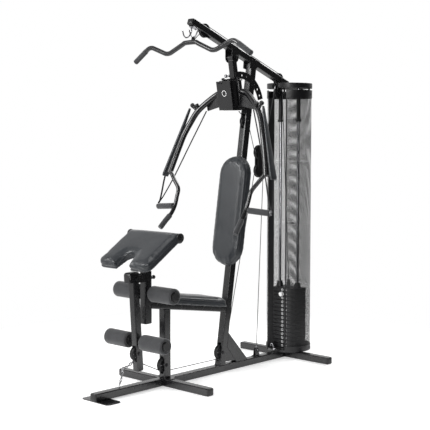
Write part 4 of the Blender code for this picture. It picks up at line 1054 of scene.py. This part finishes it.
def trim(label, surface, seam, place, body, welt, lower_welt, stitch_height, closed=True):
    """Two sewn welts and a row of stitches round a pad; each welt is its height and radius."""
    kept = slice(None) if closed else slice(2, -2)
    for name, (height, radius) in (("welt", welt), ("lower_welt", lower_welt)):
        hits = ring_hits(surface, seam, place, height)[kept]
        Shape().rod(hits, radius, 8, closed=closed).piece(f"{label}_{name}", "vinyl", body, sharp=60)
    stitches(f"{label}_stitches", ring_hits(surface, seam, place, stitch_height, normals=True)[kept], body)


def stitches(name, hits, body):
    """Single raised thread stitches along a line of (point, normal) pairs."""
    length, wire = 0.0034, 0.00055
    thread = Shape()
    for (a, normal), (b, _) in list(zip(hits, hits[1:]))[::2]:
        step = (b - a).normalized() * length / 2
        centre = (a + b) / 2
        thread.rod([centre - step - normal * 0.0005, centre - step * 0.6 + normal * 0.0005,
                    centre + step * 0.6 + normal * 0.0005, centre + step - normal * 0.0005], wire, 5)
    thread.piece(name, "thread", body)


def make_seat_pads():
    """Seat and back pad: swollen covers, welts and stitches."""
    axes = Matrix((-X_AXIS, POST_FRONT, POST_UP)).transposed().to_4x4()
    place = Matrix.Translation(on_post(0.413)) @ axes
    outline = []
    for x, reach, turn in ((0.128, 0.122, -90), (0.1, 0.622, 0), (-0.1, 0.622, 90), (-0.128, 0.122, 180)):
        centre = (x - math.copysign(0.03, x), reach + (0.03 if reach < 0.3 else -0.03))
        outline += arc(centre, 0.03, turn, turn + 90, 6)
    outline = even(outline, 0.006)
    surface = cushion("seat_pad", "seat_cushion", outline, place, 0.05, "frame", 0.006, shoulder=0.018)
    trim("seat", surface, outline, place, "frame", (0.029, 0.0017), (0.008, 0.0015), 0.034)

    low, high, wide = 0.663, 1.349, 0.118
    half = (high - low) / 2
    axes = Matrix((X_AXIS, POST_UP, POST_FRONT)).transposed().to_4x4()
    place = Matrix.Translation(on_post((low + high) / 2, TUBE / 2 + GAP)) @ axes
    outline = arc((0, half - wide), wide, 0, 180, 24) + arc((0, wide - half), wide, 180, 360, 24)
    outline = even(outline, 0.006)
    surface = cushion("back_pad", "back_cushion", outline, place, 0.056, "frame", 0.007, 0.0055, 0.013, 0.002)
    trim("back", surface, outline, place, "frame", (0.033, 0.0018), (0.009, 0.0015), 0.039)


def make_curl_pad():
    """Arm curl pad with its rolled upper edge, end buttons, welts and stitches."""
    thick, half_l, half_w, notch_w, notch_d, corner = 0.05, 0.1475, 0.21, 0.045, 0.06, 0.045
    place = (Matrix.Translation(Vector((0, -0.6657, 0.8117))) @ Matrix.Rotation(CURL_SLOPE, 4, "X")
             @ Matrix.Translation((0, 0, -thick / 2)))
    lower = arc((-half_w + corner, -half_l + corner), corner, 180, 270, 6) + [(-notch_w - 0.015, -half_l)]
    lower += arc((0, -half_l + notch_d), notch_w, 180, 0, 12) + [(notch_w + 0.015, -half_l)]
    lower += arc((half_w - corner, -half_l + corner), corner, 270, 360, 6)
    past = half_l + 0.12
    outline = even([(half_w, past), (-half_w, past)] + lower, 0.005)
    surface = cushion("curl_pad", "curl_cushion", outline, place, thick, "curl_pad", 0.006, shoulder=0.015)
    seam = [p for p in outline if p[1] < half_l - 0.022]
    first = max(range(len(seam)), key=lambda i: math.dist(seam[i], seam[i - 1]))
    seam = seam[first:] + seam[:first]
    trim("curl", surface, seam, place, "curl_pad", (0.028, 0.0017), (0.008, 0.0015), 0.034, closed=False)
    buttons, screws = Shape(), Shape()
    for side, _ in SIDES:
        at = place @ Vector((side * (half_w - 0.0005), 0.1535, thick - 0.033))
        buttons.turn([(0, -0.004), (0.0265, -0.004), (0.0265, 0.0014), (0.0245, 0.003), (0.013, 0.0036),
                      (0.0115, 0.002), (0, 0.002)], along(at, side * X_AXIS, Y_AXIS), 40)
        screws.bolt(at + side * 0.002 * X_AXIS, side * X_AXIS, 0.005, False)
    buttons.piece("curl_buttons", "black_plastic", "curl_pad")
    screws.piece("curl_button_screws", "black_oxide", "curl_pad", 0.0002)


def roller(node, body):
    """A foam roller with round shoulders and its moulded end plugs."""
    low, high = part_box(node)
    half, radius = (high.x - low.x) / 2, (high.z - low.z) / 2
    centre = middle(node)
    inner, shoulder = BAR_R + 0.0004, 0.0095
    end = [(inner, half - 0.005), (0.03, half - 0.005), (0.0335, half - 0.0012)]
    end += arc((radius - shoulder, half - shoulder), shoulder, 90, 0, 6)
    mids = [(radius, half * t) for t in (0.6, 0.2, -0.2, -0.6)]
    foam = Shape().turn(end + mids + [(r, -z) for r, z in end[::-1]], along(centre, X_AXIS, Y_AXIS), 64)
    foam.piece(node + "_foam", "foam", body, 0, (node,), 60)
    plugs = Shape()
    bore = inner + 0.0002
    for side, _ in SIDES:
        place = along(centre + side * (half - 0.005) * X_AXIS, side * X_AXIS, Y_AXIS)
        plugs.turn([(bore, 0.0002), (0.0305, 0.0002), (0.0312, 0.005), (0.0295, 0.0062), (0.027, 0.0058),
                    (0.0262, 0.0036), (0.015, 0.0036), (0.014, 0.0054), (bore, 0.0056)], place, 48)
        for index in range(12):
            turned = place @ Matrix.Rotation(math.radians(30 * index), 4, "Z")
            plugs.block((0.0115, 0.0016, 0.0018), turned @ Matrix.Translation((0.0205, 0, 0.0042)))
    plugs.piece(node + "_plugs", "black_plastic", body, 0.0002)


def make_rollers():
    """Rollers with the end caps and inner collars of their bars."""
    cap = [(0, 0), (0.025, 0), (0.0262, 0.0012), (0.025, 0.0026), (0.0205, 0.003), (0.019, 0.0018),
           (0, 0.0018)]
    bore = BAR_R + 0.0003
    collar = [(bore, 0), (0.0205, 0), (0.0225, 0.002), (0.0225, 0.0045), (bore, 0.0045)]
    bars = (("upper", "frame", Vector((0, -0.606, 0.565))), ("lower", "leg_lever", on_leg(0.362)))
    for label, body, _ in bars:
        for _, name in SIDES:
            roller(f"{label}_roller_{name}", body)
    for label, body, centre in bars:
        caps, collars = Shape(), Shape()
        for side, _ in SIDES:
            caps.turn(cap, along(centre + side * 0.2444 * X_AXIS, side * X_AXIS, Y_AXIS), 40)
            collars.turn(collar, along(centre + side * 0.0505 * X_AXIS, side * X_AXIS, Y_AXIS), 32)
        caps.piece(f"{label}_bar_caps", "black_plastic", body)
        collars.piece(f"{label}_bar_collars", "black_plastic", body, 0.0002)


# ---------------------------------------------------------------- press arms
ARM_CURVE = ((0.075, 0.125, 1.738), (0.125, 0.125, 1.722), (0.196, 0.104, 1.673), (0.255, 0.081, 1.618),
             (0.298, 0.061, 1.547), (0.33, 0.037, 1.474), (0.357, 0.019, 1.395), (0.381, 0.001, 1.316),
             (0.404, -0.02, 1.232))
HANDLE_CURVE = ((0.4, -0.019, 1.244), (0.35, -0.032, 1.188), (0.306, -0.041, 1.135), (0.301, -0.058, 1.083),
                (0.298, -0.079, 1.028), (0.299, -0.111, 0.98), (0.308, -0.151, 0.938), (0.316, -0.191, 0.894))


HANDLE_STEP = 0.006
HANGER = ((0.244, 0.081, 1.609), (0.27, 0.076, 1.638), (0.286, 0.072, 1.656))
GRIP_LINE = ((0.3, -0.076, 1.027), (0.472, -0.061, 1.016))


def mirrored(points, side):
    """The points on the given side of the symmetry plane."""
    return [Vector((side * p[0], p[1], p[2])) for p in points]


def ring_bead(shape, at, toward, radius, size):
    """A rippled weld bead round a rod."""
    turns = [math.tau * i / 40 for i in range(40)]
    path = [along(at, toward) @ Vector((radius * math.cos(t), radius * math.sin(t), 0)) for t in turns]
    shape.rod(path, [size * (1 + 0.2 * math.sin(2.1 * i)) for i in range(40)], 6, closed=True)


def make_arm(side, label):
    """Smooth tubes, hinge plates and weld beads of one swinging arm."""
    body = f"arm_{label}"
    route = smooth_path(mirrored(ARM_CURVE, side), 0.01)
    tube = Shape().rod(route, 0.019, 32)
    place = along(route[-1], route[-1] - route[-2])
    tube.turn([(0, -0.0002), (0.0186, -0.0002), (0.0186, 0.0012), (0.0165, 0.0026), (0, 0.0026)], place, 32)
    tube.piece(f"arm_tube_{label}", "black_steel", body, 0, (f"press_arm_{label}",))
    curve = smooth_path(mirrored(HANDLE_CURVE, side), HANDLE_STEP)
    handle = Shape().rod(curve, 0.0125, 28)
    root, tip = mirrored(GRIP_LINE, side)
    handle.rod([root, root.lerp(tip, 0.5), tip], 0.009, 20)
    hanger = mirrored(HANGER, side)
    handle.rod(hanger, [0.0095, 0.0095, 0.008], 20)
    handle.piece(f"arm_handle_{label}", "black_steel", body)

    plates = Shape()
    hinge = on_press(0.035, -0.216, side * ARM_HINGE_X)
    half = [(0.0086, 0.075), (0.0182, 0.075), (0.019, 0.0742)]
    plates.turn(both_ways(half), Matrix.Translation(hinge) @ Matrix.Rotation(PRESS_LEAN, 4, "X"), 36)
    web = [(0.074, 1.65), (0.196, 1.622), (0.201, 1.628), (0.206, 1.66), (0.2, 1.668), (0.12, 1.722),
           (0.074, 1.735)]
    across = Matrix(((1, 0, 0), (0, 0, -1), (0, 1, 0))).to_4x4()
    plates.slab([(side * x, z) for x, z in web], 0.005, Matrix.Translation((0, 0.118, 0)) @ across)
    plates.piece(f"arm_plates_{label}", "black_steel", body, 0.0006)
    beads = Shape()
    near = (curve[0] - curve[4]).normalized()
    for start, toward, away, direction, radius, size in (
            (route[-1], route[-2], 0.01, near, 0.0145, 0.002),
            (root, tip, 0.0125, tip - root, 0.01, 0.0016),
            (hanger[0], hanger[1], 0.016, hanger[1] - hanger[0], 0.0105, 0.0017)):
        ring_bead(beads, start + away * (toward - start).normalized(), direction, radius, size)
    beads.piece(f"arm_welds_{label}", "black_steel", body)


def make_arm_knobs(side, label):
    """The hanger's ball and the adjusting knob of one arm."""
    hanger = mirrored(HANGER, side)
    knobs = Shape()
    knobs.turn([(0, -0.004), (0.013, -0.003), (0.0148, 0.003), (0.014, 0.01), (0.0105, 0.015), (0.005, 0.0172),
                (0, 0.0176)], along(hanger[-1], hanger[-1] - hanger[0]), 32)
    knob_foot, knob_aim = mirrored(((0.243, 0.074, 1.64), (0.256, 0.062, 1.672)), side)
    knobs.turn([(0, 0), (0.007, 0), (0.008, 0.01), (0.015, 0.012), (0.0165, 0.016), (0.0165, 0.024),
                (0.014, 0.0285), (0, 0.029)], along(knob_foot, knob_aim - knob_foot), 32)
    knobs.piece(f"arm_knob_{label}", "black_plastic", f"arm_{label}")


def make_arm_grips(side, label):
    """The two foam grips of one arm, and the outer one's end ring."""
    body = f"arm_{label}"
    root, tip = mirrored(GRIP_LINE, side)
    out = (tip - root).normalized()
    start = root + 0.0147 * out
    length = (tip - start).length - 0.0008
    profile = [(0.0093, 0.0), (0.0165, 0.0), (0.0183, 0.0018), (0.0185, 0.004), (0.0185, length - 0.008),
               (0.0178, length - 0.004), (0.015, length - 0.0008), (0.0093, length)]
    foam = Shape().turn(profile, along(start, out), 40)
    foam = foam.piece(f"outer_grip_{label}_foam", "foam", body, 0, (f"outer_grip_{label}",), 50)
    lower = smooth_path(mirrored(HANDLE_CURVE, side), HANDLE_STEP)[-19:]
    sizes = [0.0168] * len(lower)
    sizes[0] = sizes[-1] = 0.015
    sleeve = Shape().rod(lower[:-1] + [lower[-1] + (lower[-1] - lower[-2]) * 0.2], sizes, 32)
    sleeve = sleeve.piece(f"lower_grip_{label}", "foam", body, 0.001, (), 50)
    fittings = Shape()
    fittings.turn([(0, 0), (0.009, 0), (0.0098, 0.001), (0.0098, 0.0035), (0.007, 0.0052), (0, 0.0056)],
                  along(tip, out), 28)
    ring_at = tip + 0.004 * out + 0.004 * Z_AXIS
    fittings.rod(oval(ring_at, 0.011 * Y_AXIS, 0.011 * Z_AXIS, 24), 0.0014, 8, closed=True)
    fittings.piece(f"grip_ring_{label}", "chrome", body)


def make_forearm_pad(side, label):
    """Padded forearm strap: narrow at its hanger, wide below, with its tail and the long strap."""
    body = f"arm_{label}"
    top, low = mirrored(((0.292, 0.066, 1.64), (0.44, -0.013, 1.21)), side)
    beside = Vector((side * 0.014, 0, 0))
    run = (low - top).normalized()
    rows, sides = 60, 28
    rings = []
    wide_axis = (Y_AXIS - run * run.dot(Y_AXIS)).normalized()
    thick_axis = run.cross(wide_axis)
    for row in range(rows + 1):
        t = row / rows
        ease = min(1.0, t * 30, (1 - t) * 30) ** 0.5 if 0 < t < 1 else 0.55
        half_w = (0.0085 + 0.019 * t) * (0.75 + 0.25 * ease)
        half_t = (0.0056 + 0.0052 * t) * (0.55 + 0.45 * ease)
        centre = top.lerp(low, t) + beside
        ring = []
        for i in range(sides):
            angle = math.tau * i / sides
            across, through = (math.copysign(abs(v) ** 0.62, v) for v in (math.cos(angle), math.sin(angle)))
            ring.append(centre + half_w * across * wide_axis + half_t * through * thick_axis)
        rings.append(ring)
    pad = Shape().loft(rings).piece(f"forearm_pad_{label}_cover", "vinyl", body, 0,
                                          (f"forearm_pad_{label}",), 60)
    straps = Shape()
    tail = mirrored(((0.452, -0.014, 1.214), (0.46, -0.022, 1.165), (0.466, -0.032, 1.105),
                     (0.47, -0.046, 1.05), (0.472, -0.059, 1.036)), side)
    straps.rod(smooth_path(tail, 0.008), 0.0075, 12, 0.14, up=(0, 1, 0))
    long_run = mirrored(((0.197, 0.104, 1.622), (0.29, 0.055, 1.42), (0.38, 0.002, 1.215), (0.44, -0.04, 1.085),
                         (0.47, -0.059, 1.036)), side)
    straps.rod(smooth_path(long_run, 0.012), 0.006, 12, 0.16, up=(0, 1, 0))
    loop_at = Vector((side * 0.281, 0.073, 1.646))
    loop = oval(loop_at, Vector((side * 0.012, 0, 0.006)), 0.0105 * Y_AXIS, 24)
    straps.rod(loop, 0.005, 8, 0.25, closed=True)
    straps.piece(f"forearm_straps_{label}", "webbing", body)


def make_yoke_parts():
    """Hinge nuts, adjusting bolts and blank badge of the press yoke."""
    facing, up = on_press(1, 0) - on_press(0, 0), on_press(0, 1) - on_press(0, 0)
    bolts = Shape()
    for x in (-0.036, -0.014):
        bolts.bolt(on_press(0.1083, -0.14, x), facing, 0.0052)
    for side, _ in SIDES:
        for height, direction in ((-0.305, -up), (-0.127, up)):
            bolts.bolt(on_press(0.035, height, side * ARM_HINGE_X), direction, 0.0105)
    bolts.piece("yoke_bolts", "black_oxide", "press_yoke", 0.0003)
    heads = Shape().bolts(on_press(0, -0.3), 0.0362, 0.0105)
    heads.piece("adjust_bolt_heads", "black_oxide", "press_lever", 0.0003)
    badge = Shape().turn([(0.015, 0), (0.0185, 0), (0.0185, 0.0005), (0.015, 0.0005)],
                         along(on_press(0.1081, -0.205), facing), 40)
    badge.piece("yoke_badge", "white_mark", "press_yoke")


def make_pins():
    """Turned spring pins of the press lever and curl post, in place of the plain ones."""
    press_end, press_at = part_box("press_pin")[1].x, middle("press_pin")
    curl_low, curl_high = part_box("curl_pin")
    curl_length = curl_high.y - curl_low.y
    # each pin: node, inner end, direction, knob's length, collar's place, collar's body and knob's finish
    for node, start, direction, grip, seat, collar_body, finish in (
            ("press_pin", Vector((press_end, press_at.y, press_at.z)), -X_AXIS, 0.02, press_end + 0.0254,
             "press_lever", "chrome"),
            ("curl_pin", Vector((0, curl_low.y, middle("curl_pin").z)), Y_AXIS, 0.016, curl_length - 0.037,
             "curl_pin", "black_plastic")):
        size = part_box(node)[1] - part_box(node)[0]
        length = max(size.x, size.y)
        place = along(start, direction)
        base = length - grip
        shaft = Shape().turn([(0, 0), (0.003, 0.0004), (0.0043, 0.003), (0.0044, base), (0, base)], place, 24)
        shaft.piece(node + "_shaft", "chrome", node, 0.0003, (node,))
        collar = Shape().turn([(0.0045, seat), (0.0098, seat), (0.0107, seat + 0.001), (0.0107, seat + 0.014),
                               (0.009, seat + 0.017), (0.0045, seat + 0.017)], place, 6)
        collar.piece(node + "_collar", "chrome", collar_body, 0.0003)
        round_end = [(0.006 + 0.006 * math.sin(math.pi * i / 8) ** 0.6, base + grip * 0.98 * i / 8)
                     for i in range(9)]
        knob = Shape().turn([(0, base)] + round_end + [(0, length - 0.0002)], place, 28)
        knob.piece(node + "_knob", finish, node)


# ---------------------------------------------------------------- lat bar, leg station and chain
def make_lat_bar():
    """Smooth bent bar, end grips, lug and snap hook."""
    y = -0.24
    right = [Vector((x, y, z)) for x, z in ((0.477, 1.923), (0.344, 2.009), (0.189, 1.952), (0.039, 2.015))]
    bent = [right[0], right[0].lerp(right[1], 0.5)]
    for before, bend, after in zip(right, right[1:], right[2:]):
        for t in (0.0, 0.25, 0.5, 0.75, 1.0):
            a, b = bend.lerp(before, 0.2), bend.lerp(after, 0.2)
            bent.append(a.lerp(bend, t).lerp(bend.lerp(b, t), t))
    bent += [right[3].lerp(right[2], 0.16), right[3].lerp(right[2], 0.04) + Vector((-0.004, 0, 0.0006))]
    route = smooth_path(mirrored(bent, -1) + bent[::-1], 0.008)
    Shape().rod(route, 0.014, 28).piece("lat_tube", "black_steel", "lat_bar", 0, ("lat_bar",))
    for side, label in SIDES:
        start, stop = mirrored((right[0], right[0].lerp(right[1], 0.72)), side)
        grip = Shape()
        length = (stop - start).length
        profile = [(0, -0.0028), (0.013, -0.0028), (0.0158, -0.001), (0.0163, 0.002)]
        profile += [(0.0163 - 0.0004 * (i % 2), 0.006 + (length - 0.012) * i / 24) for i in range(25)]
        profile += [(0.0158, length - 0.001), (0.0141, length), (0.0141, 0.001), (0, 0.001)]
        grip.turn(profile, along(start, stop - start), 32)
        grip.piece(f"lat_grip_{label}", "foam", "lat_bar", 0, (), 50)
    lug = Shape()
    outline = [(-0.006, -0.014), (0.02, -0.014)] + arc((0.014, 0.01), 0.013, 0, 180, 10)
    lug.slab(outline, 0.006, side_plane((0, y + 0.012, 2.03)))
    lug.piece("lat_lug", "black_steel", "lat_bar", 0.0006)
    hooks = Shape()
    snap = [(0, -0.216, 2.049), (0.004, -0.21, 2.043), (0.004, -0.204, 2.036), (0, -0.203, 2.029),
            (-0.004, -0.208, 2.027), (-0.005, -0.214, 2.034), (-0.004, -0.216, 2.042)]
    hooks.rod(smooth_path(snap, 0.003), 0.0017, 10, closed=True)
    hooks.piece("lat_snap_hook", "chrome", "lat_bar")


def make_bar_hooks():
    """The two hooks at the beam's tip that store a bar, on their plate."""
    tip = on_beam(-0.215 + 0.016, -BEAM_H / 2 - GAP)
    plate = Shape()
    plate.slab(rounded(0.048, 0.03, 0.004), 0.004, Matrix.Translation(tip - 0.0021 * BEAM_UP)
               @ Matrix.Rotation(-BEAM_SLOPE, 4, "X"))
    for side, _ in SIDES:
        route = [(side * 0.018, tip.y, tip.z - 0.0055), (side * 0.024, -0.206, 2.08)]
        route += [(side * x, y, z) for x, y, z in ((0.027, -0.222, 2.054), (0.028, -0.244, 2.043),
                                                   (0.028, -0.264, 2.052), (0.028, -0.276, 2.08))]
        plate.rod(smooth_path(route, 0.004), 0.004, 18)
        plate.turn([(0, -0.001), (0.004, 0), (0.0034, 0.0022), (0.0018, 0.0036), (0, 0.004)],
                   along(route[-1], Vector(route[-1]) - Vector(route[-2])), 18)
    plate.piece("bar_hooks_steel", "chrome", "frame", 0, ("bar_hooks",))


def make_leg_parts():
    """Hood over the leg lever's top, a dark sheet of painted shade for the receiver's slot, pulley bolts, and
    the chain's eye; returns its centre.
    """
    width, depth, roof = 0.058, 0.078, 0.04
    inner = rounded(width - 0.006, depth - 0.006, 0.007, 5)
    rings = [[(x, y, z) for x, y in inner] for z in (roof, 0.0)]
    for z, out in ((0.0, 0.0), (0.042, 0.0), (0.05, -0.003), (0.055, -0.009), (0.057, -0.017)):
        outline = rounded(width + 2 * out, depth + 2 * out, max(0.004, 0.01 + out), 5)
        rings.append([(x, y, z) for x, y in outline])
    hood = Shape().loft(rings, along(on_leg(0.016, 0.013), on_leg(-1) - on_leg(0)))
    hood.piece("leg_hood", "black_steel", "leg_lever", 0, (), 50)
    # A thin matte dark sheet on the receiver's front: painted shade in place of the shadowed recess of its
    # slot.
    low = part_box("curl_receiver")[0]
    slot_shade_at = along((0, low.y - 0.0006, low.z + 0.062), -Y_AXIS)
    slot_shade = Shape().slab(rounded(0.014, 0.075, 0.0068), 0.0008, slot_shade_at)
    slot_shade.piece("receiver_slot", "board", "frame")
    screws = Shape().bolts(pivot("leg_pulley_spin"), 0.0242, 0.0078)
    screws.piece("leg_pulley_bolts", "black_oxide", "leg_lever", 0.0003)
    eye_root, front_way = on_leg(0.474, 0.0226), on_leg(0, 1) - on_leg(0, 0)
    eye_at = eye_root + 0.011 * front_way
    eye = Shape().rod(oval(eye_at, 0.0085 * Y_AXIS, 0.0085 * Z_AXIS, 28), 0.0022, 10, closed=True)
    eye.turn(disc(0.006, 0, 0.003), along(eye_root, front_way), 20)
    eye.piece("leg_eye", "zinc", "leg_lever")
    return eye_at


def link(centre, direction, roll):
    """Centre line of one oval chain link."""
    length, width = 0.027, 0.016
    place = along(centre, direction) @ Matrix.Rotation(roll, 4, "Z")
    half, end = (length - width) / 2, width / 2 - LINK_WIRE
    path = []
    for i in range(28):
        t = math.tau * i / 28
        rise = math.copysign(half, math.sin(t)) if abs(math.sin(t)) > 1e-6 else 0
        path.append(place @ Vector((end * math.cos(t), 0, rise + end * math.sin(t))))
    return path


def make_chain(eye_at):
    """Steel chain from the leg lever's eye, down to the foot rail."""
    foot, knee = Vector((0, -0.814, RAIL_H + 0.014)), Vector((0, -0.784, 0.144))
    slack = knee.lerp(foot, 0.5) + 0.003 * X_AXIS
    points = smooth_path([eye_at, eye_at.lerp(knee, 0.5), knee, slack, foot], 0.001)
    lengths = np.cumsum([0] + [(b - a).length for a, b in zip(points, points[1:])])
    pitch = 0.02
    chain = Shape()
    for index in range(int(lengths[-1] // pitch) + 1):
        s = min(lengths[-1] - 1e-4, index * pitch + 0.004)
        k = min(len(points) - 2, int(np.searchsorted(lengths, s)))
        ahead = points[min(len(points) - 1, k + 6)] - points[max(0, k - 6)]
        chain.rod(link(points[k], ahead, math.radians(90 * (index % 2) + 20)), LINK_WIRE, 8, closed=True)
    chain.rod(oval(knee + 0.006 * Z_AXIS, 0.0075 * Y_AXIS, 0.0105 * Z_AXIS, 28), 0.003, 10, closed=True)
    chain.piece("leg_chain", "zinc", "frame")
    base = Vector((0, foot.y, RAIL_H + 0.0004))
    anchor = Shape().rod(oval(base, 0.008 * Y_AXIS, 0.008 * Z_AXIS, 28)[:15], 0.002, 10)
    anchor.turn([(0, 0), (0.0125, 0), (0.0125, 0.0018), (0.011, 0.0026), (0, 0.0026)], along(base), 24)
    anchor.piece("chain_anchor", "zinc", "frame")


make_stage()
for finish, nodes in DRESSED.items():
    dress(nodes, finish)
make_caps()
make_welds()
make_bolts()
make_brackets()
for pulley_node in PULLEYS:
    pulley(pulley_node)
make_cables()
make_cable_anchor()
make_block()
make_shroud()
make_rods()
make_stack()
make_selector()
make_tower()
make_seat_pads()
make_curl_pad()
make_rollers()
for arm_side, arm_label in SIDES:
    make_arm(arm_side, arm_label)
    make_arm_knobs(arm_side, arm_label)
    make_arm_grips(arm_side, arm_label)
    make_forearm_pad(arm_side, arm_label)
make_yoke_parts()
make_pins()
make_lat_bar()
make_bar_hooks()
make_chain(make_leg_parts())
